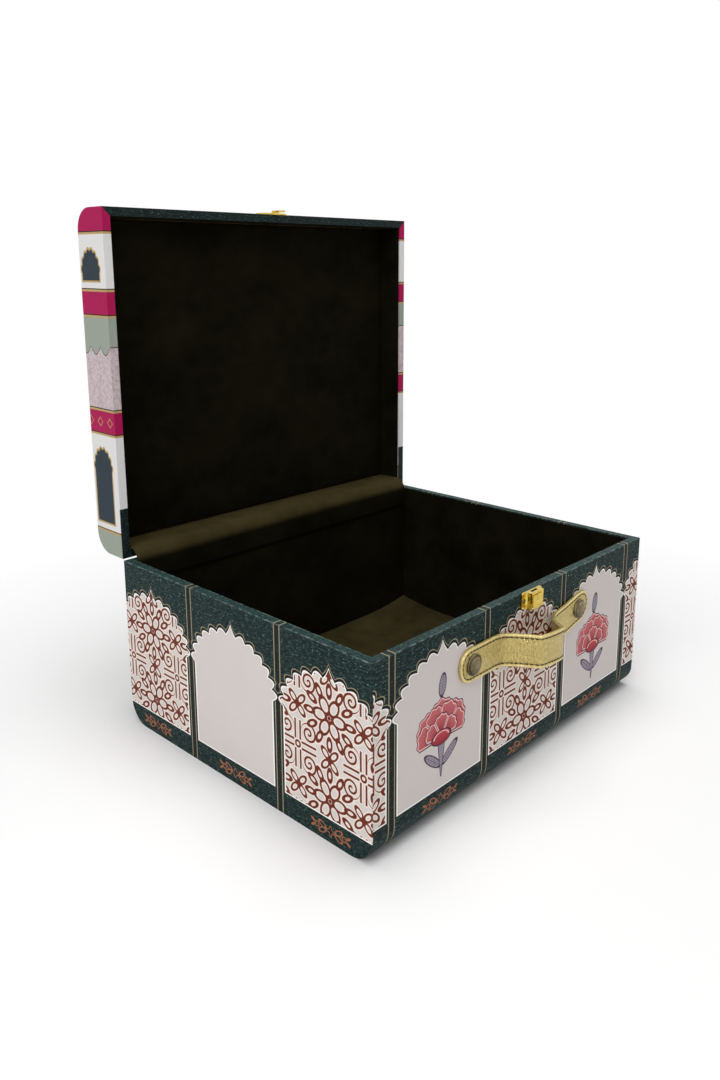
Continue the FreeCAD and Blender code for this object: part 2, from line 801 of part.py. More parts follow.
def lock_case():
    """Brass case with a wing each side, open to the wall, with a slot for the tongue and one for the stem."""
    body = new_body("lock_case")
    half = "(lock_width / 2)"
    tip, root = f"({half} + lock_wing)", f"({half} + lock_fillet)"
    neck = ahead("lock_wing_thickness + lock_fillet")
    wing = ahead("lock_wing_thickness")
    outline = [
        (f"-{tip}", ahead("0")),
        (f"-{tip}", wing),
        (f"-{root}", wing, "lock_fillet", -1),
        (f"-{half}", neck),
        (f"-{half}", ahead("lock_depth")),
        (half, ahead("lock_depth")),
        (half, neck, "lock_fillet", -1),
        (root, wing),
        (tip, wing),
        (tip, ahead("0")),
    ]
    pad(body, outline_sketch(body, "XY_Plane", "base_height - lock_height", outline), "lock_height")
    cavity = rectangle(
        f"-({half} - lock_wall)",
        f"{half} - lock_wall",
        "base_height - lock_height + lock_wall",
        "base_height - lock_wall",
    )
    pocket(body, outline_sketch(body, "XZ_Plane", "trunk_depth / 2", cavity), CAVITY_FRONT)
    slot_half = "(tongue_width / 2 + lock_clearance)"
    slot = rectangle(
        f"-{slot_half}",
        slot_half,
        ahead(f"{TONGUE_FAR} + lock_clearance"),
        ahead("tongue_standoff - lock_clearance"),
    )
    slot_start = "base_height - lock_wall - cut_overrun"
    pocket(body, outline_sketch(body, "XY_Plane", slot_start, slot), "lock_wall + 2 * cut_overrun")
    way = "(stem_width / 2 + slide_travel / 2 + slide_gap)"
    way_half = "(stem_height / 2 + slide_gap)"
    window = rectangle(f"-{way}", way, f"{BOLT_Z} - {way_half}", f"{BOLT_Z} + {way_half}")
    window_start = f"trunk_depth / 2 + {CAVITY_FRONT} - cut_overrun"
    pocket(body, outline_sketch(body, "XZ_Plane", window_start, window), "lock_wall + 2 * cut_overrun")
    front = rounded("0", tip, "(base_height - lock_height)", "base_height", "lock_corner_radius")
    trim = prism("lock_outline", "XZ_Plane", "trunk_depth / 2 - cut_overrun", "lock_depth + 2 * cut_overrun", front)
    return common("lock_case_trimmed", [body, trim])


def thumb_plate():
    """Plate on the lock's front with the stem that drives the bolt, drawn at the unlocked end."""
    body = new_body("lock_thumb_plate")
    middle = "(base_height - lock_height / 2)"
    plate = rectangle(
        f"{SLIDE_X} - thumb_width / 2",
        f"{SLIDE_X} + thumb_width / 2",
        f"{middle} - thumb_height / 2",
        f"{middle} + thumb_height / 2",
    )
    start = "trunk_depth / 2 + lock_depth + slide_gap"
    pad(body, outline_sketch(body, "XZ_Plane", start, plate), "thumb_thickness")
    stem = rectangle(
        f"{SLIDE_X} - stem_width / 2",
        f"{SLIDE_X} + stem_width / 2",
        f"{BOLT_Z} - stem_height / 2",
        f"{BOLT_Z} + stem_height / 2",
    )
    stem_start = f"trunk_depth / 2 + {CAVITY_FRONT} - carrier_gap"
    stem_sketch = outline_sketch(body, "XZ_Plane", stem_start, stem)
    stem_pad = pad(body, stem_sketch, "carrier_gap + lock_wall + slide_gap")
    doc.recompute()
    show = number(ahead("lock_depth + slide_gap + thumb_thickness"))
    bevel = body.newObject("PartDesign::Chamfer", "bevel")
    bevel.Base = (stem_pad, edges_at(stem_pad, "y", show))
    bevel.setExpression("Size", bind("thumb_edge"))
    return body


def lock_bolt():
    """Carrier behind the case's front wall with the bolt at its left end."""
    right = "(-(tongue_width / 2 + lock_clearance))"
    left = f"({right} - bolt_length)"
    carrier_end = f"({SLIDE_X} + stem_width / 2)"
    carrier_back = ahead(f"{CAVITY_FRONT} - carrier_gap - carrier_thickness")
    carrier_front = ahead(f"{CAVITY_FRONT} - carrier_gap")
    outline = [
        (left, ahead("tongue_standoff")),
        (right, ahead("tongue_standoff")),
        (right, carrier_back),
        (carrier_end, carrier_back),
        (carrier_end, carrier_front),
        (left, carrier_front),
    ]
    return prism("lock_bolt", "XY_Plane", f"{BOLT_Z} - bolt_height / 2", "bolt_height", outline)


def strike():
    """Plate on the lid's front with a joggled tongue that hangs below the lid's rim."""
    body = new_body("lock_strike")
    low, high = from_rim(LID, "strike_lift"), from_rim(LID, "strike_height")
    plate = rounded("0", "strike_width / 2", f"({low})", f"({high})", "strike_corner_radius")
    pad(body, outline_sketch(body, "XZ_Plane", "trunk_depth / 2", plate), "strike_thickness")
    foot = from_rim(LID, "strike_lift + strike_foot")
    tip = from_rim(LID, "-tongue_drop")
    tongue = [
        (ahead("strike_thickness"), low),
        (ahead("tongue_standoff"), low),
        (ahead("tongue_standoff"), tip),
        (ahead(TONGUE_FAR), tip),
        (ahead(TONGUE_FAR), foot),
        (ahead("strike_thickness"), foot),
    ]
    pad(body, outline_sketch(body, "YZ_Plane", "-tongue_width / 2", tongue), "tongue_width")
    half = "(bolt_height / 2 + lock_clearance)"
    edge = "(-tongue_width / 2)"
    notch = rectangle(
        f"{edge} - cut_overrun", f"{edge} + notch_depth", f"{BOLT_Z} - {half}", f"{BOLT_Z} + {half}"
    )
    start = "trunk_depth / 2 + tongue_standoff - cut_overrun"
    pocket(body, outline_sketch(body, "XZ_Plane", start, notch), "tongue_thickness + 2 * cut_overrun")
    return body


# Holes for the handle's rivets, which the strap, wrap and board share
rivet_bore = "rivet_post_radius + rivet_fit"
rivet_far = "2 * strap_layer + cut_overrun"
rivet_bores = group("rivet_bores", rivet_rods("rivet_bore", rivet_bore, f"-{RIM_INSIDE}", rivet_far))
recess_near = f"-({BOARD_INSIDE} + cut_overrun)"
recess_far = f"-({BOARD_INSIDE} - washer_recess)"
recess_radius = "washer_radius + rivet_fit"
washer_recesses = group("washer_recesses", rivet_rods("recess", recess_radius, recess_near, recess_far))

for tray in (BASE, LID):
    on_lid = tray is LID
    tray_name = tray["name"]
    seats = hinge_seats(tray)
    front_board, front_wrap = side_board(tray, FRONT), side_wrap(tray, FRONT)
    if not on_lid:
        front_board = cut(cut(front_board, rivet_bores), washer_recesses)
        front_wrap = cut(front_wrap, rivet_bores)
    keep(f"{tray_name}_front_board", front_board, on_lid)
    keep(f"{tray_name}_back_board", cut(side_board(tray, BACK), seats), on_lid)
    keep(f"{tray_name}_{tray['panel_name']}_board", panel_board(tray), on_lid)
    keep(f"{tray_name}_wrap_front", front_wrap, on_lid)
    keep(f"{tray_name}_wrap_back", cut(side_wrap(tray, BACK), seats), on_lid)
    keep(f"{tray_name}_{tray['panel_name']}_cover", cover_sheet(tray), on_lid)
    keep(f"{tray_name}_{tray['pad_name']}", inner_pad(tray), on_lid)
    for side, side_name in SIDE_NAMES.items():
        keep(f"{tray_name}_{side_name}_moulding", edge_moulding(tray, side), on_lid)
        keep(f"{tray_name}_lining_{side_name}", side_lining(tray, side), on_lid)
    for end, end_name in END_NAMES.items():
        keep(f"{tray_name}_{end_name}_board", end_board(tray, end), on_lid)
        keep(f"{tray_name}_wrap_{end_name}", end_wrap(tray, end), on_lid)
        keep(f"{tray_name}_lining_{end_name}", end_lining(tray, end), on_lid)
        keep(f"hinge_{end_name}_{tray_name}_leaf", leaf(tray, end), on_lid)

keep("hinge_gusset", gusset())
strap_trim = strap_outline()
keep("handle_strap_backing", cut(strap_layer("strap_backing", "-strap_layer", "0", strap_trim), rivet_bores))
keep("handle_strap_face", cut(strap_layer("strap_face", "0", "strap_layer", strap_trim), rivet_bores))
keep("handle_rivets", group("handle_rivets", [rivet(LEFT), rivet(RIGHT)]))
keep("handle_washers", washers())
for end, end_name in END_NAMES.items():
    keep(f"hinge_{end_name}_pin", hinge_pin(end))
keep("lock_case", lock_case())
keep("lock_thumb_plate", thumb_plate())
keep("lock_bolt", lock_bolt())
keep("lock_strike", strike(), True)
doc.recompute()

# The lid turns open about the hinge pins
hinge_line = FreeCAD.Vector(0, number(HINGE_Y), number(HINGE_Z))
swing = FreeCAD.Rotation(FreeCAD.Vector(1, 0, 0), -number("open_angle"))
opened = FreeCAD.Placement(FreeCAD.Vector(), swing, hinge_line)
for name in lid_nodes:
    nodes[name].Placement = opened.multiply(nodes[name].Placement)

# Nothing is written unless every object and every shape is sound
for item in doc.Objects:
    if "Invalid" in item.State or "Error" in item.State:
        raise ValueError(f"{item.Label} failed: {item.State}")
for name, piece in nodes.items():
    if piece.Shape.isNull() or not piece.Shape.isValid() or not piece.Shape.Solids:
        raise ValueError(f"{name} has no sound shape")

os.makedirs("parts", exist_ok=True)
for name, piece in nodes.items():
    piece.Shape.exportStep(f"parts/{name}.step")
print(f"{len(nodes)} sub-parts written")
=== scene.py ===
import math
from functools import partialmethod, reduce
from types import SimpleNamespace as Sizes

import bmesh
import bpy
from mathutils import Color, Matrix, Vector, noise


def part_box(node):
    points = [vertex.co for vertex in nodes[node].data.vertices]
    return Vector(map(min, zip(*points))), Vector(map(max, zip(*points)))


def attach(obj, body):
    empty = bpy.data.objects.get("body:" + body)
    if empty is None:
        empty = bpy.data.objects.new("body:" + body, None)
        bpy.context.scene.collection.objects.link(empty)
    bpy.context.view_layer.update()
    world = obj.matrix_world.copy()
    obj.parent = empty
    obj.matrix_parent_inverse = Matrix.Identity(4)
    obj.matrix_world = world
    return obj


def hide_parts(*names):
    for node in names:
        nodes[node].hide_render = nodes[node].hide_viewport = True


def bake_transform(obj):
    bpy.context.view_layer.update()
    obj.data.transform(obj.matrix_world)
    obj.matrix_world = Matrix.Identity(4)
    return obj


# Looks of a printed storage trunk. Everything is in metres in the part's own frame; the print is drawn in
# millimetres on the unrolled sheets.

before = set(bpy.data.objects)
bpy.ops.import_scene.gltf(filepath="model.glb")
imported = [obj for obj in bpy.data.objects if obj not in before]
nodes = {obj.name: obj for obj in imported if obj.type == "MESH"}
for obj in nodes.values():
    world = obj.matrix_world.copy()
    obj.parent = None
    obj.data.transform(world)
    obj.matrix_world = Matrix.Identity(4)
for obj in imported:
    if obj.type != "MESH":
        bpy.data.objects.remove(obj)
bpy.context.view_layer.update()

MM = 0.001
X, Y, Z, PLACE = 0, 1, 2, 3
BASE_LOW, BASE_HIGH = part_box("base_wrap_left")[0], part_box("base_wrap_right")[1]
LID_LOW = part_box("lid_wrap_left")[0]

# Colours as they are seen, from 0 to the full value
FULL = 255
INKS = dict(
    # the pale rim-edge ink stands for wear and a painted edge highlight
    ground=(8, 27, 26), fleck=(112, 152, 143), wear_and_highlight=(160, 176, 168), border=(250, 248, 245),
    column=(156, 144, 118), outline=(22, 20, 18), panel=(216, 209, 205), halo=(240, 226, 216),
    rust=(110, 44, 27), copper=(160, 104, 74), petal=(196, 78, 86), petal_deep=(150, 42, 56),
    petal_edge=(240, 200, 196), pencil=(66, 46, 62), leaf=(158, 152, 166), sage=(154, 162, 150),
    lilac=(204, 190, 192), damask=(184, 164, 170), white=(226, 224, 223), magenta=(168, 24, 82),
    slate=(46, 57, 66), gold=(186, 158, 104), suede=(12, 11, 5), suede_brushed=(30, 27, 14),
    # floor and roll suede inks: lighter copies of the wall suede, painted light
    nap=(42, 37, 20), nap_brushed=(64, 57, 33), roll=(48, 42, 23), roll_brushed=(72, 63, 37),
    # strap and strap_deep: bright and dull gold of painted reflection streaks; the strap's edge ink is a
    # painted highlight
    sheen=(150, 132, 84), strap=(206, 188, 120), strap_deep=(172, 149, 88), strap_edge_highlight=(238, 220, 158),
    thread=(70, 52, 26), antique=(158, 144, 112), antique_deep=(82, 71, 50), brass=(228, 204, 98),
    brass_deep=(178, 144, 54), steel=(120, 112, 96), wood=(176, 136, 92), wood_deep=(138, 98, 60),
    floor=(246, 246, 246),
)


def linear(name):
    """A colour of the list as the shader's linear values."""
    seen = Color([value / FULL for value in INKS[name]])
    return (*seen.from_srgb_to_scene_linear(), 1.0)


# Fields: numbers that vary over a surface, written as sums and turned into shader nodes


class Field:
    def __init__(self, socket):
        self.socket = socket
        self.tree = socket.id_data

    def math(self, operation, *others, clamp=False):
        inputs = dict(enumerate((self, *others)))
        return made(self.tree, "Math", inputs, operation=operation, use_clamp=clamp)

    def __rsub__(self, other):
        return self.math("MULTIPLY_ADD", -1.0, other)

    __add__ = __radd__ = partialmethod(math, "ADD")
    __sub__ = partialmethod(math, "SUBTRACT")
    __mul__ = __rmul__ = partialmethod(math, "MULTIPLY")
    __truediv__ = partialmethod(math, "DIVIDE")
    __abs__ = partialmethod(math, "ABSOLUTE")


def plug(slot, value):
    """Link a field to a socket, or set a plain value on it."""
    if isinstance(value, Field):
        value.tree.links.new(value.socket, slot)
    else:
        slot.default_value = value


def made(tree, kind, inputs, output=0, **settings):
    """Field of a new node with its settings and inputs."""
    node = tree.nodes.new("ShaderNode" + kind)
    for name, value in settings.items():
        setattr(node, name, value)
    for slot, value in inputs.items():
        plug(node.inputs[slot], value)
    return Field(node.outputs[output])


def hypot(a, b):
    return (a * a + b * b).math("SQRT")


def either(*shapes):
    """Distance to the nearest of several shapes."""
    return reduce(lambda first, second: first.math("MINIMUM", second), shapes)


def both(*shapes):
    """Distance to the part that several shapes share."""
    return reduce(lambda first, second: first.math("MAXIMUM", second), shapes)


def oval(a, b, half_a, half_b):
    return (hypot(a / half_a, b / half_b) - 1.0) * min(half_a, half_b)


def line(shape, width):
    return abs(shape) - width / 2


def turned(a, b, angle):
    """The pair of coordinates in axes turned by an angle."""
    cosine, sine = math.cos(angle), math.sin(angle)
    return a * cosine + b * sine, b * cosine - a * sine


def blade(a, b, place_a, place_b, angle, half_a, half_b):
    """Turned oval at a place: its distance and the coordinates along its axes."""
    along, across = turned(a - place_a, b - place_b, angle)
    return oval(along, across, half_a, half_b), along, across


def cusps(a, up, half, rise, lobes, share, lobe):
    """How far a place is out of the lobed head of an arch that springs at zero, in shares of its size."""
    across, climb = abs(a) / half, (up / rise).math("MAXIMUM", 0.0)
    wave = abs((climb.math("ARCTAN2", across) * lobes).math("SINE"))
    return hypot(across, climb) - share - wave * lobe


INK_SOFTNESS = 0.25


def inside(shape, softness=INK_SOFTNESS):
    """1 where a distance is below zero and 0 where it is above, with a soft edge."""
    return shape.math("MULTIPLY_ADD", -1 / softness, 0.5, clamp=True)


def between(value, low, high, share=None):
    """0 at the low value, and 1 or a share at the high one."""
    ramp = value.math("MULTIPLY_ADD", 1 / (high - low), -low / (high - low), clamp=True)
    return ramp * share if share else ramp


def repeated(along, pitch):
    """Distance from the middle of a repeat."""
    return (along / pitch).math("FRACT") * pitch - pitch / 2


MIX_FACTOR, MIX_FIRST, MIX_SECOND, MIX_RESULT = 0, 6, 7, 2


def paint(colour, ink, share):
    """Lay an ink over a colour; each is a name or a field."""
    tree = next(value.tree for value in (share, colour) if isinstance(value, Field))
    first, second = (linear(value) if isinstance(value, str) else value for value in (colour, ink))
    inputs = {MIX_FACTOR: share, MIX_FIRST: first, MIX_SECOND: second}
    return made(tree, "Mix", inputs, MIX_RESULT, data_type="RGBA")


def stack(x, y, z):
    return made(x.tree, "CombineXYZ", dict(enumerate((x, y, z))))


def split(tree, kind):
    """The three parts of the surface's place or normal."""
    node = tree.nodes.new("ShaderNodeSeparateXYZ")
    plug(node.inputs[0], made(tree, "TexCoord", {}, kind))
    return [Field(socket) for socket in node.outputs]


def stretched(fields, scales):
    """A place with a scale of its own on each axis."""
    return stack(*(field * scale for field, scale in zip(fields, scales)))


def cloud(place, scale=1.0, detail=2.0, roughness=0.5):
    """Smooth noise from about 0 to 1 at a place."""
    inputs = {"Vector": place, "Scale": scale, "Detail": detail, "Roughness": roughness}
    return made(place.tree, "TexNoise", inputs)


def cells(place, scale=1.0, feature="F1"):
    """Distance to the nearest of scattered points, or to the edge between two."""
    return made(place.tree, "TexVoronoi", {"Vector": place, "Scale": scale}, "Distance", feature=feature)


def blank_material(name):
    """New material, its shader, and the place in millimetres as three fields and one vector."""
    material = bpy.data.materials.new(name)
    material.use_nodes = True
    shader = next(node for node in material.node_tree.nodes if node.type == "BSDF_PRINCIPLED")
    x, y, z = (field * (1 / MM) for field in split(material.node_tree, "Object"))
    return material, shader, (x, y, z, stack(x, y, z))


def new_material(name, look, *details):
    """Material of a look, which gives the shader's values or fields, a height and its depth in metres."""
    material, shader, fields = blank_material(name)
    values, height, depth = look(fields, *details)
    values["Normal"] = made(height.tree, "Bump", {"Distance": depth, "Height": height})
    for slot, value in values.items():
        plug(shader.inputs[slot], value)
    return material


# The printed arcade: cusped arches between double lines on a dark flecked ground

ARCADE = Sizes(
    half=50.2, spring=101.0, rise=42.0, foot=28.5, lobes=6.5, lobe=4.0, tip=5.5, tip_half=4.5,
    outline=0.8, outline_rise=1.3, edge_gap=1.5, edge=0.8, border=1.1,
    column_gap=3.1, column=1.0, gutter_share=0.65, cloud=0.04, cloud_share=0.25,
)
# Each sheet: pitch of its columns, place of one column, drop of the print, and whether it has flowers
SHEETS = {
    "front": (110.8, 20.1, 0.0, True),
    "left": (111.7, 97.9, 9.5, False),
    "right": (111.7, 83.6, 9.5, True),
    "back": (110.8, 134.6, 0.0, True),
}
# Ground marks: ink, scale along and up, layer of the noise, its detail and roughness, levels with a share
GROUND_MARKS = (
    ("slate", 0.03, 0.05, 0.0, 2.0, 0.5, (0.0, 1.0, 0.2)),
    ("fleck", 0.2, 0.7, 0.0, 3.0, 0.7, (0.48, 0.8, 0.32)),
    ("fleck", 0.42, 0.8, 7.0, 1.0, 0.5, (0.655, 0.76, 0.95)),
)


def ground_colour(along, up):
    """Dark green with short pale flecks that run along the sheet."""
    colour = "ground"
    for ink, run, rise, layer, detail, roughness, levels in GROUND_MARKS:
        mark = cloud(stack(along * run, up * rise, layer), 1.0, detail, roughness)
        colour = paint(colour, ink, between(mark, *levels))
    return colour


def arch_distance(a, v):
    """Distance from the edge of a cusped arch whose foot is at zero."""
    rise, depth = ARCADE.rise, ARCADE.lobe / ARCADE.rise
    half, spring = ARCADE.half / (1 - depth), ARCADE.spring - ARCADE.foot
    head = cusps(a, v - spring, half, rise, 2 * ARCADE.lobes, 1 - depth, depth)
    tip = between(abs(a), ARCADE.tip_half, 0.0)
    return both((head - tip * tip * (ARCADE.tip / rise)) * rise, v * -1.0)


LATTICE = Sizes(
    half_width=34.0, half_height=33.0, start=43.5, line=1.85, fine=1.5, halo=0.9, halo_softness=0.8,
    eye=1.6, ring=2.4, leaf_reach=6.2, leaf=(4.8, 2.5), bar_gap=2.7, bar_middle=12.0, bar_length=16.0,
    curl_out=12.0, curl_up=12.4, curl_pitch=4.6, curl_reach=8.4,
)
# Rings of a rosette: count of petals, reach of their middles, and half their length and width
PETAL_RINGS = ((6, 9.8, 6.6, 4.3), (12, 20.8, 4.6, 2.3))


def rosette(a, b):
    """Six looped petals with twelve slender ones outside them."""
    radius, turn = hypot(a, b), b.math("ARCTAN2", a)
    shapes = [radius - LATTICE.eye]
    for count, reach, half_length, half_width in PETAL_RINGS:
        fold = turn.math("PINGPONG", math.pi / count)
        along, aside = radius * fold.math("COSINE"), radius * fold.math("SINE")
        shapes.append(line(oval(along - reach, aside, half_length, half_width), LATTICE.line))
    return either(*shapes)


def bar(a, b):
    return both(line(a - LATTICE.bar_gap, LATTICE.line), line(b - LATTICE.bar_middle, LATTICE.bar_length))


def scrolls(a, b):
    """Four curls round a cross of double bars with a ring at its middle."""
    out, up = abs(a), abs(b)
    curl_a, curl_b = out - LATTICE.curl_out, up - LATTICE.curl_up
    reach = hypot(curl_a, curl_b)
    wind = reach / LATTICE.curl_pitch - curl_b.math("ARCTAN2", curl_a) / (2 * math.pi)
    arm = line((wind.math("FRACT") - 0.5) * LATTICE.curl_pitch, LATTICE.line)
    ring = line(hypot(out, up) - LATTICE.ring, LATTICE.line)
    return either(bar(out, up), bar(up, out), both(arm, reach - LATTICE.curl_reach), ring)


def leaf_cross(a, b):
    """Four leaves set crosswise."""
    out, up = turned(abs(a), abs(b), math.pi / 4)
    return line(oval(out - LATTICE.leaf_reach, up, *LATTICE.leaf), LATTICE.fine)


def lattice_colour(a, v):
    """Pierced-screen pattern: rosettes, scrolls and leaf crosses on a half-drop repeat."""
    wide, high = LATTICE.half_width, LATTICE.half_height
    near_a, near_v = a.math("PINGPONG", wide), v.math("PINGPONG", high)
    far_a, far_v = wide - near_a, high - near_v
    crosses = either(leaf_cross(near_a, far_v), leaf_cross(far_a, near_v))
    shapes = either(rosette(near_a, near_v), scrolls(far_a, far_v), crosses)
    pale = paint("panel", "halo", inside(shapes - LATTICE.halo, LATTICE.halo_softness))
    return paint(pale, "rust", inside(shapes))


# Rows of a bloom from the back: drop of its centre, reach, spread, half the angle of a petal and its start
PETAL_ROWS = (
    (16.0, 33.0, math.radians(70), math.radians(23.4), 0.0),
    (15.0, 29.0, math.radians(92), math.radians(23), math.radians(23)),
    (15.0, 20.0, math.radians(84), math.radians(28), 0.0),
)
# A bud or leaf is given by its place, its turn and half its sizes
FLOWER = Sizes(
    rise=56.0, pencil=0.8, stalk=1.0, stalk_foot=10.0, stalk_top=24.0,
    stem_foot=-46.0, stem_top=-16.0, stem_slope=0.13,
    bud=(0.6, 28.0, math.radians(-8), 3.6, 8.0), leaf=(10.0, -30.0, math.radians(38), 10.0, 3.2),
    vein=0.5, vein_share=0.7, hatch_scale=0.45, hatch=0.2, ruffles=22.0, ruffle=0.025,
    petal_round=0.13, petal_levels=(0.35, 0.95), rib_waves=46.0, rib_levels=(0.25, 0.9, 0.22),
    rim_inset=0.8, rim=0.9, seam_inset=0.7, seam_rim=0.8, seam=0.2,
    cup_rise=-14.0, cup=(10.5, 5.4), cup_levels=(-19.0, -9.0), cup_inset=1.0, cup_rim=0.7,
)


def greens_colour(colour, a, b):
    """The flower's bud, stem, stalk and leaves with their pencilled veins."""
    size = FLOWER
    stalk = both(line(a, size.stalk), b - size.stalk_top, size.stalk_foot - b)
    bud, bud_a, _ = blade(a, b, *size.bud)
    leaf, _, leaf_b = blade(abs(a), b, *size.leaf)
    taper = abs(a) - (b - size.stem_foot) * size.stem_slope
    greens = either(bud, both(taper, b - size.stem_top, size.stem_foot - b), leaf)
    hatch = line((b * size.hatch_scale).math("FRACT") - 0.5, size.hatch)
    vein = either(line(leaf_b, size.vein), line(bud_a, size.vein), hatch)
    colour = paint(colour, "pencil", inside(either(greens, stalk) - size.pencil))
    colour = paint(colour, "leaf", inside(greens))
    return paint(colour, "pencil", inside(both(vein, greens)) * size.vein_share)


def flower_colour(colour, a, b):
    """Formal bloom of three rows of petals in a cup, with a bud, a stem and two leaves."""
    size = FLOWER
    colour = greens_colour(colour, a, b)
    for drop, reach, spread, step, start in PETAL_ROWS:
        base = b + drop
        radius = hypot(a, base)
        turn = abs(a.math("ARCTAN2", base))
        fold = (turn + start).math("PINGPONG", step)
        ruffle = (fold * size.ruffles).math("COSINE") * size.ruffle
        edge = radius - (1 - (fold / step) * (fold / step) * size.petal_round + ruffle) * reach
        shape = both(edge, (turn - spread) * radius)
        seam = (step - fold) * radius
        depth = radius / reach
        ribs = abs((turn * size.rib_waves).math("SINE")) * between(depth, *size.rib_levels)
        fill = paint(paint("petal_deep", "petal", between(depth, *size.petal_levels)), "petal_edge", ribs)
        colour = paint(colour, "pencil", inside(shape - size.pencil))
        colour = paint(colour, fill, inside(shape))
        rim = either(line(shape + size.rim_inset, size.rim), line(seam - size.seam_inset, size.seam_rim))
        colour = paint(colour, "petal_edge", inside(both(rim, shape)))
        colour = paint(colour, "pencil", inside(both(seam - size.seam, shape)))
    cup = oval(a, b - size.cup_rise, *size.cup)
    fill = paint("petal_deep", "petal", between(b, *size.cup_levels))
    colour = paint(colour, "pencil", inside(cup - size.pencil))
    colour = paint(colour, fill, inside(cup))
    rim = both(line(cup + size.cup_inset, size.cup_rim), size.cup_rise - b)
    return paint(colour, "petal_edge", inside(rim))


SPRIG = Sizes(
    drop=9.5, line=0.9, middle=3.0, middle_lobe=1.0, middle_lobes=4.0, ring_out=14.2, ring=2.0,
    dot_out=5.0, dot=0.8, inner=(8.6, 2.4, math.radians(24), 3.8, 1.9),
    outer=(18.6, 2.2, math.radians(32), 2.5, 1.1),
)


def sprig(a, b):
    """Small sprig of leaves and rings for the band under an arch."""
    size, out, up = SPRIG, abs(a), abs(b)
    wave = (b.math("ARCTAN2", a) * size.middle_lobes).math("COSINE") * size.middle_lobe
    inner, outer = blade(out, up, *size.inner)[0], blade(out, up, *size.outer)[0]
    ring = hypot(out - size.ring_out, b) - size.ring
    lines = [line(shape, size.line) for shape in (hypot(a, b) - (wave + size.middle), inner, ring)]
    return either(*lines, outer, hypot(out - size.dot_out, b) - size.dot)


def arcade_colour(along, up, fold, place, pitch, column, drop, flowers):
    """Colour of a printed wall by the distance along it, the height and the way in over its rim."""
    count = ((along - column) / pitch).math("FLOOR")
    a = along - column - (count + 0.5) * pitch
    v = up - (ARCADE.foot - drop)
    arch, shadow = arch_distance(a, v), arch_distance(a, v - ARCADE.outline_rise)
    head = inside(ARCADE.spring - ARCADE.foot - v)
    beside = pitch / 2 - abs(a) - ARCADE.column_gap
    colour = ground_colour(along, up + fold)
    colour = paint(colour, "outline", inside(beside + ARCADE.column) * ARCADE.gutter_share)
    colour = paint(colour, "column", inside(line(beside, ARCADE.column)))
    colour = paint(colour, "column", inside(line(shadow - ARCADE.edge_gap, ARCADE.edge)) * head)
    colour = paint(colour, "outline", inside(either(shadow, arch) - ARCADE.outline))
    screen = lattice_colour(a, v - (LATTICE.start - ARCADE.foot))
    plain = paint("panel", "lilac", cloud(place, ARCADE.cloud) * ARCADE.cloud_share)
    if flowers:
        plain = flower_colour(plain, a, v - FLOWER.rise)
    panel = paint(plain, screen, count.math("PINGPONG", 1.0))
    panel = paint(panel, "border", inside(arch * -1.0 - ARCADE.border))
    return paint(paint(colour, panel, inside(arch)), "copper", inside(sprig(a, v + SPRIG.drop)))


# The lid's bands of plain niches, valances and stripes; a niche has half a width, rise, lobes, share and lobe

LID = Sizes(
    stripes=(22.0, 112.0, 134.0, 216.0, 238.0, 286.0), stripe=2.6, stripe_gap=1.0, stripe_edge=0.9,
    niche=(15.0, 20.0, 8.0, 0.92, 0.1), niche_pitch=47.5, niche_head=14.0, niche_foot=8.0, niche_trim=1.6,
    front_band=60.0, scallop=15.8, gem=4.0, gem_line=1.0,
    figure=0.3, figure_waves=14.0, figure_levels=(-0.3, 0.6, 0.8),
    valance=26.0, valance_wave=7.0, valance_line=0.8, rim_plain=46.0, rim_depth=0.7, plain_share=0.4,
)


def niche_distance(a, up, low, high):
    """Distance from the edge of a cusped niche in the band between two heights."""
    half, rise = LID.niche[:2]
    head = cusps(a, up - (high - LID.niche_head - rise), *LID.niche)
    return both(head * half, low + LID.niche_foot - up)


def lid_colour(along, up, place):
    """Colour of the lid by the distance along a row and the distance from its hinge."""
    marks = LID.stripes
    a, small = repeated(along, LID.niche_pitch), repeated(along, LID.scallop)
    figure = (cells(place, LID.figure, "SMOOTH_F1") * LID.figure_waves).math("SINE")
    damask = paint("lilac", "damask", between(figure, *LID.figure_levels))
    colour = paint("sage", "white", inside(marks[0] - up))
    for low, high in (marks[0:2], marks[4:6]):
        niche, band = niche_distance(a, up, low, high), inside(low - up) * inside(up - high)
        colour = paint(colour, "gold", inside(niche - LID.niche_trim) * band)
        colour = paint(colour, "slate", inside(niche) * band)
    for low, high in (marks[1:3], (marks[5], marks[5] + LID.front_band)):
        band = both(low - up, up - high)
        gem = abs(small) + abs(up - (low + high) / 2) - LID.gem
        colour = paint(colour, "magenta", inside(band))
        colour = paint(colour, "gold", inside(both(line(gem, LID.gem_line), band)))
    colour = paint(colour, damask, inside(both(marks[2] - up, up - marks[3])))
    wave = (small * (math.pi / LID.scallop)).math("COSINE") * LID.valance_wave
    valance = both(marks[3] - LID.valance - wave - up, up - marks[3])
    colour = paint(colour, "outline", inside(valance - LID.valance_line) * inside(up - marks[3]))
    colour = paint(colour, "sage", inside(valance))
    colour = paint(colour, "magenta", inside(both(marks[3] - up, up - marks[4])))
    for mark in marks:
        colour = paint(colour, "gold", inside(line(up - mark, LID.stripe)))
        colour = paint(colour, "outline", inside(line(up - mark - LID.stripe_gap, LID.stripe_edge)))
    return colour


# Looks. A tuple for a cloud is its scale, detail and roughness, and levels may end with a share

LEATHER = Sizes(
    pebble=1.3, pebble_share=0.6, pore=(2.2, 3.0), pore_share=0.4, depth=0.10 * MM,
    gloss=0.12, gloss_spread=0.16, specular=0.08, wall_roughness=0.52, lid_roughness=0.5,
)
# Rim marks: the top sizes give painted light on up-facing faces; the wear sizes give wear and a painted edge
# highlight
RIM = Sizes(
    top_facing=0.3, top_softness=0.2, top_cloud=(0.35, 3.0), top_levels=(0.35, 0.8, 0.16),
    wear=0.7, wear_softness=0.8, wear_cloud=0.22, wear_levels=(0.42, 0.66, 0.4),
)


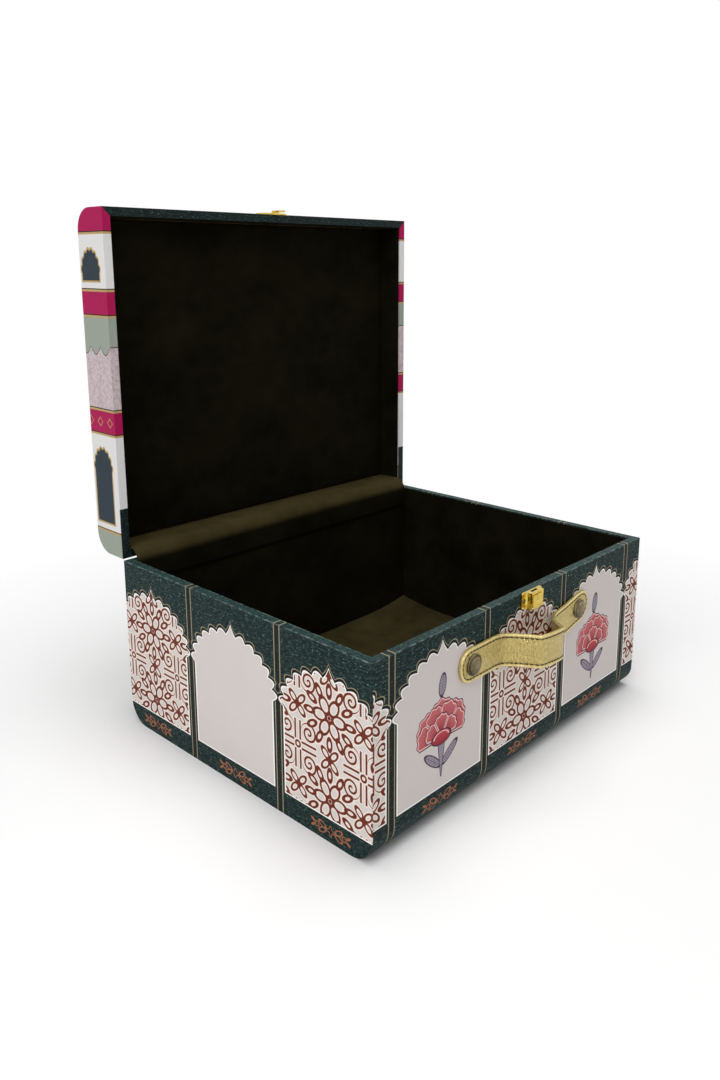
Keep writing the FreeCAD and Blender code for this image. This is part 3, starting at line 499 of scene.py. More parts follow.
def leather(place, colour, roughness):
    """Leatherette with a fine pebbled grain and a gloss that varies a little."""
    size = LEATHER
    pebble = cells(place, size.pebble) * size.pebble_share
    pore = cloud(place, *size.pore) * size.pore_share
    gloss = cloud(place, size.gloss) * size.gloss_spread + (roughness - size.gloss_spread / 2)
    values = {"Base Color": colour, "Roughness": gloss, "Specular IOR Level": size.specular}
    return values, pebble + pore, size.depth


def printed_wall(fields, sheet, along_axis, start, direction, face_axis, outer, inner):
    """Printed base sheet, pale along both edges of its rim from wear and a painted edge highlight, with
    painted light as extra pale flecks on faces that point up.
    """
    along = (fields[along_axis] - start / MM) * direction
    up, place = fields[Z], fields[PLACE]
    fold = abs(fields[face_axis] - outer / MM)
    colour = arcade_colour(along, up, fold, place, *sheet)
    # painted light: extra pale flecks on faces that point up, such as the rim's top
    top = inside(RIM.top_facing - split(place.tree, "Normal")[Z], RIM.top_softness)
    colour = paint(colour, "fleck", top * between(cloud(place, *RIM.top_cloud), *RIM.top_levels))
    # pale line along both rim edges: wear, and a painted highlight of the rounded edges
    edge = abs(up - BASE_HIGH[Z] / MM) + either(fold, abs(fields[face_axis] - inner / MM))
    patches = between(cloud(place, RIM.wear_cloud), *RIM.wear_levels)
    colour = paint(colour, "wear_and_highlight", inside(edge - RIM.wear, RIM.wear_softness) * patches)
    return leather(place, colour, LEATHER.wall_roughness)


def lid_sheet(fields, along_axis, start=0.0, printed=True):
    """Lid sheet; its print runs over its rim strip, which is plain near the hinge; the plain ground is
    darkened as painted shade.
    """
    up, place = fields[Z] - LID_LOW[Z] / MM, fields[PLACE]
    # painted shade: the plain ground darkened with the outline ink
    plain = paint(ground_colour(fields[X], fields[Y] - fields[Z]), "outline", LID.plain_share)
    colour = plain
    if printed:
        colour = lid_colour(fields[along_axis] - start / MM, up, place)
        rim = inside(fields[Y] - (LID_LOW[Y] / MM + LID.rim_depth))
        colour = paint(colour, plain, rim * inside(up - LID.rim_plain))
    return leather(place, colour, LEATHER.lid_roughness)


NAPPED = Sizes(
    brush_scales=(0.012, 0.02, 0.02), brush=(1.0, 4.0, 0.6), brush_share=0.7, mark=(0.06, 3.0),
    mark_share=0.3, levels=(0.38, 0.66), fuzz=3.0, fuzz_shade=0.5, fuzz_share=0.6, dent=0.5, dent_share=0.4,
    depth=0.25 * MM,
)
NAPPED_SOCKETS = {"Roughness": 0.95, "Specular IOR Level": 0.03, "Sheen Weight": 0.04, "Sheen Roughness": 0.4}


def suede(fields, deep, light, shade_heights=None):
    """Brushed, fuzzy suede with an olive sheen; given two heights, it darkens downward between them to the
    wall suede, as painted shade.
    """
    size, place = NAPPED, fields[PLACE]
    brushed = cloud(stretched(fields, size.brush_scales), *size.brush) * size.brush_share
    brushing = between(brushed + cloud(place, *size.mark) * size.mark_share, *size.levels)
    fuzz = cloud(place, size.fuzz)
    colour = paint(deep, light, brushing)
    if shade_heights:
        # painted shade: from the upper height down to the lower one the colour turns to the darker wall suede
        high = between(fields[Z], *shade_heights)
        colour = paint(paint("suede", "suede_brushed", brushing), colour, high)
        deep = paint("suede", deep, high)
    colour = paint(colour, deep, fuzz * size.fuzz_shade)
    values = {**NAPPED_SOCKETS, "Base Color": colour, "Sheen Tint": linear("sheen")}
    return values, fuzz * size.fuzz_share + cloud(place, size.dent) * size.dent_share, size.depth


# Sizes of the strap along its curve; the attribute holds the distance from its outline in millimetres
STRAP = Sizes(
    layer=1.6 * MM, bend_radius=18 * MM, leg=15.5 * MM, leg_slope=math.radians(58), corner_radius=6 * MM,
    crown_radius=80 * MM, crown_slope=math.radians(12), end_radius=13 * MM, tab_lift=2.2 * MM,
    lift_start=38 * MM, lift_run=24 * MM, inset=3.1 * MM, step=1.0 * MM,
)
GAP_ATTRIBUTE = "edge_gap"
# Gold leather; the bead, seam and crease shares set its painted highlight and painted shade
GILT = Sizes(
    crease_scales=(0.42, 0.42, 0.26), crease=0.02, crease_softness=0.06, crease_share=0.5,
    fold_levels=(0.0, 0.16, 0.6), fine=(1.1, 4.0, 0.65), fine_levels=(0.42, 0.6), fine_share=0.4,
    gleam_scales=(0.5, 0.5, 0.3), gleam=(1.0, 4.0, 0.7), gleam_levels=(0.3, 0.62),
    bead=1.1, bead_half=0.7, bead_softness=0.6, bead_share=0.7, seam_half=0.45, seam_softness=0.7,
    seam_share=0.6, depth=0.45 * MM, roughness=0.2, roughness_spread=0.2, metallic=0.65,
)


def gold_leather(fields):
    """Crinkled gold leather with a satin metal lustre, painted reflection streaks, a painted highlight along
    its edge bead and painted shade in its creases and stitch groove.
    """
    size, place = GILT, fields[PLACE]
    crease = cells(stretched(fields, size.crease_scales), 1.0, "DISTANCE_TO_EDGE")
    fine = cloud(place, *size.fine)
    gleam = cloud(stretched(fields, size.gleam_scales), *size.gleam)
    gap = made(place.tree, "Attribute", {}, "Fac", attribute_name=GAP_ATTRIBUTE)
    crease_shade = inside(crease - size.crease, size.crease_softness) * between(fine, *size.fine_levels)
    bead = inside(abs(gap - size.bead) - size.bead_half, size.bead_softness)
    seam = inside(abs(gap - STRAP.inset / MM) - size.seam_half, size.seam_softness)
    # painted reflection: streaks between dull and bright gold
    colour = paint("strap_deep", "strap", between(gleam, *size.gleam_levels))
    # painted shade in the creases
    colour = paint(colour, "thread", crease_shade * size.crease_share)
    # painted highlight on the edge bead
    colour = paint(colour, "strap_edge_highlight", bead * size.bead_share)
    values = {
        # painted shade along the stitch groove
        "Base Color": paint(colour, "thread", seam * size.seam_share),
        "Roughness": fine * size.roughness_spread + size.roughness,
        "Metallic": size.metallic,
    }
    return values, fine * size.fine_share + between(crease, *size.fold_levels), size.depth


# Metal; shade_levels and the ring sizes give the rivet caps' painted shade
METAL = Sizes(
    tarnish=(4.0, 0.6), tarnish_levels=(0.3, 0.7), tarnish_share=0.5, scratch_scales=(0.3, 2.0, 6.0),
    scratch_share=0.5, depth=0.05 * MM, shade_levels=(0.25, -0.5),
    ring_reach_share=0.84, ring_width_share=0.14, ring_softness=0.8, ring_share=0.7,
)


def shaded_ring_distance(x, z):
    """Distance from the ring of painted shade near the edge of either rivet cap."""
    low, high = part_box("handle_rivets")
    radius = (high[Z] - low[Z]) / 2 / MM
    middle, rise = (low[X] + high[X]) / 2 / MM, (low[Z] + high[Z]) / 2 / MM
    spread = (high[X] - low[X]) / 2 / MM - radius
    reach = hypot(abs(x - middle) - spread, z - rise)
    return line(reach - radius * METAL.ring_reach_share, radius * METAL.ring_width_share)


def metal(fields, bright, dull, roughness, spread, scale, painted_cap_shade):
    """Metal with cloudy tarnish and faint scratches; rivet caps also get painted shade on their lower side
    and in a ring near their edge.
    """
    size, place = METAL, fields[PLACE]
    tarnish = cloud(place, scale, *size.tarnish)
    scratch = cloud(stretched(fields, size.scratch_scales))
    colour = paint(dull, bright, between(tarnish, *size.tarnish_levels))
    if painted_cap_shade:
        # painted shade: darker towards the cap's lower side, and a dark ring near its edge
        colour = paint(colour, dull, between(split(place.tree, "Normal")[Z], *size.shade_levels))
        ring = inside(shaded_ring_distance(fields[X], fields[Z]), size.ring_softness)
        colour = paint(colour, "outline", ring * size.ring_share)
    values = {"Base Color": colour, "Roughness": tarnish * spread + roughness, "Metallic": 1.0}
    return values, scratch * size.scratch_share + tarnish * size.tarnish_share, size.depth


TIMBER = Sizes(
    bend=(0.01, 3.0), bend_reach=30.0, ring_across=0.35, ring_up=0.5, ring_share=0.3,
    fibre_scales=(0.05, 1.2, 1.2), fibre=(1.0, 3.0), levels=(0.2, 0.9), depth=0.1 * MM, roughness=0.7,
)


def board(fields):
    """Plain sawn board under the wrap, with its grain along the length."""
    size = TIMBER
    bend = cloud(fields[PLACE], *size.bend) * size.bend_reach
    ring = (fields[Y] * size.ring_across + fields[Z] * size.ring_up + bend).math("SINE")
    fibre = cloud(stretched(fields, size.fibre_scales), *size.fibre)
    grain = between(ring * size.ring_share + fibre, *size.levels)
    return {"Base Color": paint("wood_deep", "wood", grain), "Roughness": size.roughness}, fibre, size.depth


TWIST = Sizes(pitch=5.0, wander=3.0, levels=(-0.2, 0.9, 0.5), depth=0.08 * MM, roughness=0.8)


def thread(fields):
    """Twisted thread."""
    size = TWIST
    twist = ((fields[X] + fields[Z]) * size.pitch + cloud(fields[PLACE]) * size.wander).math("SINE")
    colour = paint("thread", "outline", between(twist, *size.levels))
    return {"Base Color": colour, "Roughness": size.roughness}, twist, size.depth


# Floor pad and gusset roll: lighter copies of the wall suede, painted light where they face up; the roll's
# lower part is painted shade
ROLL_SHADE_HEIGHTS = (153.0, 158.5)
SUEDE = new_material("suede", suede, "suede", "suede_brushed")
LIT_FLOOR_SUEDE = new_material("lit_floor_suede", suede, "nap", "nap_brushed")
LIT_ROLL_SUEDE = new_material("roll_suede", suede, "roll", "roll_brushed", ROLL_SHADE_HEIGHTS)
GOLD = new_material("gold_leather", gold_leather)
THREAD = new_material("thread", thread)
WOOD = new_material("board", board)
# Metals: bright and dull ink, roughness and its spread, scale of the tarnish, and whether the caps get
# painted shade
METALS = {
    "antique_brass": ("antique", "antique_deep", 0.24, 0.2, 0.25, False),
    "rivet_brass": ("antique", "antique_deep", 0.2, 0.2, 0.2, True),
    "lock_brass": ("brass", "brass_deep", 0.12, 0.12, 0.3, False),
    "screw_steel": ("steel", "antique_deep", 0.25, 0.2, 1.5, False),
}
ANTIQUE, RIVET, BRASS, STEEL = (new_material(name, metal, *row) for name, row in METALS.items())


def dress(node, material):
    """Give a carried-over solid its finish."""
    slots = nodes[node].data.materials
    slots.clear()
    slots.append(material)


# Each wall: axis along its sheet, the sheet's start and direction, the axis that it faces and its face
WALLS = {
    "front": (X, BASE_LOW[X], 1, Y, BASE_LOW[Y]),
    "back": (X, BASE_HIGH[X], -1, Y, BASE_HIGH[Y]),
    "left": (Y, BASE_LOW[Y], 1, X, BASE_LOW[X]),
    "right": (Y, BASE_LOW[Y], 1, X, BASE_HIGH[X]),
}
for side, wall in WALLS.items():
    along_axis, _, _, face_axis, outer = wall
    faces = [corner[face_axis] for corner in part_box(f"base_wrap_{side}")]
    inner = max(faces, key=lambda face: abs(face - outer))
    dress(f"base_wrap_{side}", new_material(f"print_{side}", printed_wall, SHEETS[side], *wall, inner))
    row_start = LID_LOW[Y] if along_axis == Y else 0.0
    row = (along_axis, row_start, side != "front")
    dress(f"lid_wrap_{side}", new_material(f"lid_print_{side}", lid_sheet, *row))
dress("lid_top_cover", new_material("lid_print_top", lid_sheet, X))
dress("base_bottom_cover", new_material("plain_cover", lid_sheet, X, 0.0, False))
for name in nodes:
    if name.endswith(("_board", "_moulding")):
        dress(name, WOOD)
    elif name == "handle_rivets":
        dress(name, RIVET)
    elif name.startswith(("hinge_left", "hinge_right", "handle_washers")):
        dress(name, ANTIQUE)
    elif name.startswith("lock_"):
        dress(name, BRASS)


# Meshes


def add_object(name, data):
    thing = bpy.data.objects.new(name, data)
    bpy.context.scene.collection.objects.link(thing)
    return thing


def add_piece(name, points, faces, material, body=None):
    """Closed smooth mesh that faces outward and rides on a body where one is given."""
    mesh = bpy.data.meshes.new(name)
    shape = bmesh.new()
    corners = [shape.verts.new(point) for point in points]
    for face in faces:
        shape.faces.new([corners[index] for index in face]).smooth = True
    bmesh.ops.recalc_face_normals(shape, faces=shape.faces)
    if shape.calc_volume(signed=True) < 0:
        bmesh.ops.reverse_faces(shape, faces=shape.faces)
    shape.to_mesh(mesh)
    shape.free()
    mesh.materials.append(material)
    piece = add_object(name, mesh)
    if body:
        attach(piece, body)
    return piece


EDGE_ROUNDS = 5


def spaced(low, high, edge, step):
    """Places from low to high, close over the round edges and about a step apart between them."""
    lead = [edge * (1 - math.cos(math.pi / 2 * index / EDGE_ROUNDS)) for index in range(EDGE_ROUNDS)]
    count = max(2, round((high - low - 2 * edge) / step))
    middle = [edge + (high - low - 2 * edge) * index / count for index in range(count + 1)]
    tail = [high - low - value for value in reversed(lead)]
    return [low + value for value in lead + middle + tail]


def grid_faces(rows, columns, start=0):
    """Quads of a grid of points that were listed row by row."""
    quads = []
    for row in range(rows - 1):
        for column in range(columns - 1):
            first = start + row * columns + column
            quads.append((first, first + 1, first + columns + 1, first + columns))
    return quads


def rim_faces(rows, columns):
    """Quads that join the border of such a grid to the border of a second one listed after it."""
    grid = [range(row * columns, (row + 1) * columns) for row in range(rows)]
    right, left = [row[-1] for row in grid[1:-1]], [row[0] for row in grid[-2:0:-1]]
    rim = [*grid[0], *right, *reversed(grid[-1]), *left]
    size = rows * columns
    return [(near, far, far + size, near + size) for near, far in zip(rim, rim[1:] + rim[:1])]


def ring_faces(gaps, ring, start=0):
    """Quads between closed rings of points that were listed one after another."""
    quads = []
    for first in range(start, start + gaps * ring, ring):
        for step in range(ring):
            near, far = first + step, first + (step + 1) % ring
            quads.append((near, far, far + ring, near + ring))
    return quads


def tube_faces(gaps, ring, start=0):
    """Such quads and a face over each end."""
    ends = [list(range(first, first + ring)) for first in (start, start + gaps * ring)]
    return ring_faces(gaps, ring, start) + ends


# Linings and pads

PANEL = Sizes(curl_reach=70 * MM, side_share=0.6, broad=11.0, broad_share=0.35, fine=37.0, fine_share=0.15)


def unevenness(place):
    """How far a panel's face sinks at a place, from 0 to 1."""
    broad = PANEL.broad_share * noise.noise(place * PANEL.broad)
    fine = PANEL.fine_share * noise.noise(place * PANEL.fine)
    return min(max(0.5 + broad + fine, 0.0), 1.0)


def soft_panel(node, body, axis, side, material, thickness, edge, give, step, curl=0.0):
    """Suede panel with a rolled edge and an uneven face, whose far corner may curl up."""
    low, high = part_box(node)
    first, second = [index for index in (X, Y, Z) if index != axis]
    rows = spaced(low[first], high[first], edge, step)
    columns = spaced(low[second], high[second], edge, step)
    back = high[axis] - thickness if side > 0 else low[axis] + thickness
    front, behind = [], []
    for p in rows:
        for q in columns:
            gap = min(p - low[first], high[first] - p, q - low[second], high[second] - q)
            rounding = math.sqrt(max(0.0, 1 - (1 - min(gap / edge, 1.0)) ** 2))
            roll = PANEL.side_share + (1 - PANEL.side_share) * rounding
            away = min(math.hypot(high[first] - p, high[second] - q) / PANEL.curl_reach, 1.0)
            lift = curl * (1 - away) ** 2
            face = roll * (thickness - give * unevenness(Vector((p, q, back)))) + lift
            for layer, level in ((front, face), (behind, lift)):
                point = Vector()
                point[first], point[second], point[axis] = p, q, back + side * level
                layer.append(point)
    across, down = len(rows), len(columns)
    faces = grid_faces(across, down) + grid_faces(across, down, len(front)) + rim_faces(across, down)
    piece = add_piece(node + "_suede", front + behind, faces, material, body)
    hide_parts(node)
    return piece


def flat_size(node, axis):
    """Length and width of a panel that faces along an axis."""
    low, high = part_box(node)
    return tuple(high[index] - low[index] for index in (X, Y, Z) if index != axis)


LINING = {"thickness": 1.0 * MM, "edge": 1.0 * MM, "give": 0.35 * MM, "step": 9 * MM}
LINING_SIDES = {
    "base": {"front": (Y, 1), "back": (Y, -1), "left": (X, 1), "right": (X, -1)},
    "lid": {"front": (Z, -1), "back": (Z, 1), "left": (X, 1), "right": (X, -1)},
}
for tray, sides in LINING_SIDES.items():
    for side, (axis, sense) in sides.items():
        node = f"{tray}_lining_{side}"
        panel = soft_panel(node, tray, axis, sense, SUEDE, **LINING)
        flat_size(node, axis)

PAD = {"edge": 4 * MM, "step": 7 * MM}
# Each pad: tray, axis and sense that it faces, suede, how far its face gives and how far its corner curls
PADS = {
    "base_floor_pad": ("base", Z, 1, LIT_FLOOR_SUEDE, 1.1 * MM, 7 * MM),
    "lid_top_pad": ("lid", Y, -1, SUEDE, 0.8 * MM, 0.0),
}
for node, (tray, axis, sense, material, give, curl) in PADS.items():
    low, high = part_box(node)
    thickness = high[axis] - low[axis]
    pad = soft_panel(node, tray, axis, sense, material, thickness, give=give, curl=curl, **PAD)

# Gusset: a soft roll over both rims, from the base's back lining to the lid's

GUSSET = Sizes(
    thickness=0.8 * MM, body_share=0.85, radius=12.2 * MM, ripple=0.5 * MM, waves=(26.0, 40.0, 40.0),
    wave_level=0.4, wave_share=0.3, sink_share=0.3, paring=0.5 * MM, pared_steps=3,
    step=4 * MM, turns=10, flange_steps=6,
)


def gusset_path():
    """Section of the roll as (Y, Z, normal Y, normal Z), from the base flange to the lid flange."""
    low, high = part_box("hinge_gusset")
    radius, turns, flange = GUSSET.radius, GUSSET.turns, GUSSET.flange_steps
    centre_y, centre_z = low[Y] + radius, high[Z] - radius
    path = []
    for index in range(flange):
        path.append((low[Y], low[Z] + (centre_z - low[Z]) * index / flange, -1.0, 0.0))
    for index in range(turns + 1):
        angle = math.pi / 2 * index / turns
        out_y, out_z = -math.cos(angle), math.sin(angle)
        path.append((centre_y + radius * out_y, centre_z + radius * out_z, out_y, out_z))
    for index in range(1, flange + 1):
        path.append((centre_y + (high[Y] - centre_y) * index / flange, high[Z], 0.0, 1.0))
    return path


def gusset():
    size, path = GUSSET, gusset_path()
    low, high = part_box("hinge_gusset")
    count = round((high[X] - low[X]) / size.step)
    points = []
    for index in range(count + 1):
        x = low[X] + (high[X] - low[X]) * index / count
        outer, inner = [], []
        for step, (y, z, out_y, out_z) in enumerate(path):
            bulge = 2 * abs(out_y * out_z)
            spot = Vector(place * scale for place, scale in zip((x, y, z), size.waves))
            wave = (noise.noise(spot) - size.wave_level) * (size.wave_share + bulge) - size.sink_share
            pared = max(0.0, 1 - min(step, len(path) - 1 - step) / size.pared_steps)
            lift = size.ripple * wave * (1 - pared) - size.paring * pared
            depth = lift - size.thickness * size.body_share
            outer.append((x, y + out_y * lift, z + out_z * lift))
            inner.append((x, y + out_y * depth, z + out_z * depth))
        points += outer + inner[::-1]
    piece = add_piece("hinge_gusset_suede", points, tube_faces(count, 2 * len(path)), LIT_ROLL_SUEDE)
    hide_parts("hinge_gusset")
    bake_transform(piece)


gusset()

# Strap handle: two stitched layers bowed out from the front

STRAP_LOW, STRAP_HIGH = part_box("handle_strap_face")
STRAP_MIDDLE = (STRAP_LOW + STRAP_HIGH) / 2


def chord(length, turn):
    """Straight distance over a run that turns evenly."""
    return length if turn == 0 else length * math.sin(turn / 2) / (turn / 2)


def strap_runs():
    """Lengths and turns of half the strap's plan curve, from its tip to its middle."""
    bend, drop = STRAP.leg_slope, STRAP.leg_slope - STRAP.crown_slope
    runs = [
        (STRAP.bend_radius * bend, bend),
        (STRAP.leg, 0.0),
        (STRAP.corner_radius * drop, -drop),
        (STRAP.crown_radius * STRAP.crown_slope, -STRAP.crown_slope),
    ]
    heading = reach = 0.0
    for length, turn in runs:
        reach += chord(length, turn) * math.cos(heading + turn / 2)
        heading += turn
    return [((STRAP_HIGH[X] - STRAP_LOW[X]) / 2 - reach, 0.0)] + runs


def follow(runs, travel):
    """Place and heading after a distance along runs of a length and a turn each."""
    place, heading = Vector((0.0, 0.0)), 0.0
    for length, turn in runs:
        part = min(travel, length)
        bend = turn * part / length
        middle = heading + bend / 2
        place += chord(part, bend) * Vector((math.cos(middle), math.sin(middle)))
        heading += bend
        travel -= part
        if travel <= 0:
            break
    return place, heading


STRAP_RUNS = strap_runs()
STRAP_HALF = sum(length for length, turn in STRAP_RUNS)
STRAP_WIDE = (STRAP_HIGH[Z] - STRAP_LOW[Z]) / 2


def strap_seam(travel):
    """X, way out and heading of the seam between the layers at a distance from the left tip."""
    mirror = travel > STRAP_HALF
    place, heading = follow(STRAP_RUNS, 2 * STRAP_HALF - travel if mirror else travel)
    x, out = STRAP_LOW[X] - STRAP_MIDDLE[X] + place[0], STRAP.layer + place[1]
    return (-x, out, -heading) if mirror else (x, out, heading)


# Creases: where they lie from the middle and how strong they are there
CREASES = ((-50 * MM, 1.0), (52 * MM, 0.4))
CRUMPLE = Sizes(
    reach=9 * MM, crease_along=420, crease_across=110, crease=0.75 * MM, wave_scale=60, wave_layer=5.0,
    wave=0.10 * MM,
)


def crumple(travel, across):
    """Creases where the bow leaves its tabs, and a slight unevenness elsewhere."""
    along, scale = travel - STRAP_HALF, CRUMPLE.wave_scale
    near = sum(share * math.exp(-((along - place) / CRUMPLE.reach) ** 2) for place, share in CREASES)
    crease = noise.noise(Vector((along * CRUMPLE.crease_along, across * CRUMPLE.crease_across, 0.0)))
    wave = noise.noise(Vector((along * scale, across * scale, CRUMPLE.wave_layer)))
    return CRUMPLE.crease * near * crease + CRUMPLE.wave * wave


# Set of the worn strap: distance from its middle, then the shift to the right and up there
STRAP_SET = (
    (-60 * MM, 0.0, 0.0),
    (-22 * MM, 0.0, 0.0),
    (0.0, -1.5 * MM, -0.8 * MM),
    (22 * MM, -5.0 * MM, -3.0 * MM),
    (55 * MM, 0.5 * MM, -6.0 * MM),
    (88 * MM, 0.0, 0.0),
    (106 * MM, 0.0, 3.2 * MM),
    (120 * MM, 0.0, 5.8 * MM),
)


def settled(along):
    """Shift of the strap at a distance from its middle, smooth through the listed places."""
    index = 1
    while index < len(STRAP_SET) - 3 and along > STRAP_SET[index + 1][0]:
        index += 1
    before, start, end, after = STRAP_SET[index - 1:index + 3]
    run = end[0] - start[0]
    share = min(max((along - start[0]) / run, 0.0), 1.0)
    shifts = []
    for axis in (1, 2):
        leave = (end[axis] - before[axis]) / (end[0] - before[0]) * run
        reach = (after[axis] - start[axis]) / (after[0] - start[0]) * run
        change = end[axis] - start[axis]
        bend = (3 * change - 2 * leave - reach) + (leave + reach - 2 * change) * share
        shifts.append(start[axis] + (leave + bend * share) * share)
    return shifts


def on_strap(travel, across, height):
    """Point of the strap at a distance along, across and outward from its seam."""
    along = travel - STRAP_HALF
    x, out, heading = strap_seam(travel)
    right, raised = settled(along)
    sagged = min(max((abs(along) - STRAP.lift_start) / STRAP.lift_run, 0.0), 1.0)
    lift = STRAP.tab_lift * sagged * sagged * (3 - 2 * sagged)
    return Vector((
        STRAP_MIDDLE[X] + x + right - math.sin(heading) * height,
        BASE_LOW[Y] - out - math.cos(heading) * height,
        STRAP_MIDDLE[Z] + lift + raised + across,
    ))


def past_end(travel):
    """How far a place lies out in the round end of the strap."""
    return max(STRAP.end_radius - min(travel, 2 * STRAP_HALF - travel), 0.0)


def strap_half_width(travel):
    """Half the strap's width at a distance from its tip, with round ends."""
    radius = STRAP.end_radius
    return STRAP_WIDE - radius + math.sqrt(max(radius ** 2 - past_end(travel) ** 2, 0.0))


def edge_gap(travel, across):
    """Distance from a point of the strap to its outline."""
    beside = max(abs(across) - (STRAP_WIDE - STRAP.end_radius), 0.0)
    return STRAP.end_radius - math.hypot(past_end(travel), beside)


# Section of a layer: insets from its edge in millimetres, then shares of the way on to the middle
EDGE_INSETS = (0.0, 0.12, 0.3, 0.6, 1.1, 1.7, 2.3, 2.7, 3.1, 3.5, 4.1)
MIDDLE_SHARES = (0.25, 0.5, 0.75, 1.0)
SECTION = Sizes(
    tip=0.2 * MM, bead=1.15 * MM, bead_share=0.7, groove=0.55 * MM, groove_share=0.3, face_share=0.84,
    sink=0.1 * MM, crumple_reach=4 * MM, seam=0.06 * MM,
)


def layer_height(travel, across, gap):
    """Height of a layer's face over the seam."""
    size = SECTION
    rounding = math.sqrt(max(0.0, 1 - ((gap - size.bead) / size.bead) ** 2))
    face = 1 - size.bead_share + size.bead_share * rounding
    if gap > size.bead:
        groove = math.exp(-((gap - STRAP.inset) / size.groove) ** 2)
        face = max(face, size.face_share - size.groove_share * groove)
    creased = crumple(travel, across) * min(gap / size.crumple_reach, 1.0)
    return min(STRAP.layer * face - size.sink + creased, STRAP.layer)


def strap_layer(node, outward):
    """Leather layer with an edge bead, a pressed stitch line and a slightly creased face."""
    stations = spaced(0.0, 2 * STRAP_HALF, STRAP.end_radius, STRAP.step)
    last = EDGE_INSETS[-1]
    middle = [last + (STRAP_WIDE / MM - last) * share for share in MIDDLE_SHARES]
    insets = [value * MM for value in (*EDGE_INSETS, *middle)]
    sides = [(-1, inset) for inset in insets] + [(1, inset) for inset in insets[-2::-1]]
    points, distances = [], []
    for travel in stations:
        half = max(strap_half_width(travel), SECTION.tip)
        for side, inset in sides:
            across = side * half * (1 - inset / STRAP_WIDE)
            gap = max(edge_gap(travel, across), 0.0)
            points.append(on_strap(travel, across, outward * layer_height(travel, across, gap)))
            distances.append(gap / MM)
        for across in (half, -half):
            points.append(on_strap(travel, across, outward * SECTION.seam))
            distances.append(0.0)
    faces = tube_faces(len(stations) - 1, len(sides) + 2)
    piece = add_piece(node + "_leather", points, faces, GOLD, "base")
    piece.data.attributes.new(GAP_ATTRIBUTE, "FLOAT", "POINT").data.foreach_set("value", distances)
    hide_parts(node)


STITCH = Sizes(
    pitch=4.1 * MM, length=2.9 * MM, radius=0.5 * MM, rings=5, sides=8, plumpness=0.6, tip_share=0.12,
    height_share=0.56, lift=0.1 * MM,
)


def stitch_points(place, along, across, out):
    """Rings of points of one plump stitch."""
    points = []
    for ring in range(STITCH.rings + 1):
        angle = math.pi * ring / STITCH.rings
        middle = place - along * (math.cos(angle) * STITCH.length / 2)
        swell = math.sin(angle) ** STITCH.plumpness if 0 < ring < STITCH.rings else STITCH.tip_share
        for side in range(STITCH.sides):
            turn = 2 * math.pi * side / STITCH.sides
            aside = across * math.cos(turn) + out * math.sin(turn)
            points.append(middle + aside * (STITCH.radius * swell))
    return points


def stitch_places():
    """Distance along and across the strap and heading of each stitch, once round inside its edge."""
    wide, radius = STRAP_WIDE - STRAP.inset, STRAP.end_radius - STRAP.inset
    corner = (math.pi / 2 * radius, math.pi / 2)
    straight, tab = (2 * (STRAP_HALF - STRAP.end_radius), 0.0), (2 * (wide - radius), 0.0)
    runs = [straight, corner, tab, corner] * 2
    whole = sum(length for length, turn in runs)
    count = round(whole / STITCH.pitch)
    found = []
    for index in range(count):
        place, heading = follow(runs, whole * index / count)
        found.append((STRAP.end_radius + place[0], place[1] - wide, heading))
    return found


def stitching():
    """Thread of the strap's seam, one stitch after another."""
    points, faces = [], []
    reach = STITCH.length / 2
    height = STRAP.layer * STITCH.height_share + STITCH.lift
    for travel, across, heading in stitch_places():
        run, aside = math.cos(heading) * reach, math.sin(heading) * reach
        first = on_strap(travel - run, across - aside, height)
        second = on_strap(travel + run, across + aside, height)
        along = (second - first).normalized()
        out = on_strap(travel, across, height + MM) - on_strap(travel, across, height)
        faces += tube_faces(STITCH.rings, STITCH.sides, len(points))
        points += stitch_points((first + second) / 2, along, along.cross(out).normalized(), out.normalized())
    add_piece("handle_stitching", points, faces, THREAD, "base")


strap_layer("handle_strap_face", 1)
strap_layer("handle_strap_backing", -1)
stitching()

# Screw heads on the lock's wings

SCREW = Sizes(
    radius=1.9 * MM, height=0.8 * MM, slot=0.32 * MM, slot_depth=0.5 * MM, slot_way=(0.6, 0, 0.8),
    round_share=0.55, round_power=3, rings=6, sides=32, wing=3.1 * MM, wing_face=1.2 * MM,
)


def screw_head(name, place):
    """Domed head with a straight slot."""
    size, rings, sides = SCREW, SCREW.rings, SCREW.sides
    out, slot_way = Vector((0, -1, 0)), Vector(size.slot_way)
    aside = out.cross(slot_way)
    points = [place + out * (size.height - size.slot_depth)]
    for ring in range(1, rings + 2):
        share = min(ring / rings, 1.0)
        dome = size.height * (1 - size.round_share * share ** size.round_power)
        for side in range(sides):
            turn = 2 * math.pi * side / sides
            over, along = size.radius * share * math.cos(turn), size.radius * share * math.sin(turn)
            height = dome - size.slot_depth if abs(over) < size.slot else dome
            points.append(place + aside * over + slot_way * along + out * (height if ring <= rings else 0.0))
    faces = [(0, 1 + side, 1 + (side + 1) % sides) for side in range(sides)]
    faces += ring_faces(rings, sides, 1)
    faces.append(list(range(len(points) - sides, len(points))))
    add_piece(name, points, faces, STEEL, "base")


LOCK_LOW, LOCK_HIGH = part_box("lock_case")
LOCK_RISE = (LOCK_LOW[Z] + LOCK_HIGH[Z]) / 2
for side, wing in (("left", LOCK_LOW[X] + SCREW.wing), ("right", LOCK_HIGH[X] - SCREW.wing)):
    spot = Vector((wing, BASE_LOW[Y] - SCREW.wing_face, LOCK_RISE))
    screw_head(f"lock_screw_{side}", spot)

# Stage, light and camera


def seen_rays(tree):
    """1 for rays that the camera sees straight, in a mirror or through glass."""
    path = tree.nodes.new("ShaderNodeLightPath")
    kinds = [Field(path.outputs[f"Is {kind} Ray"]) for kind in ("Camera", "Glossy", "Transmission")]
    return both(*kinds)


FLOOR = Sizes(half=6.0, shadow_start=0.3, shadow_end=0.65, roughness=0.9)


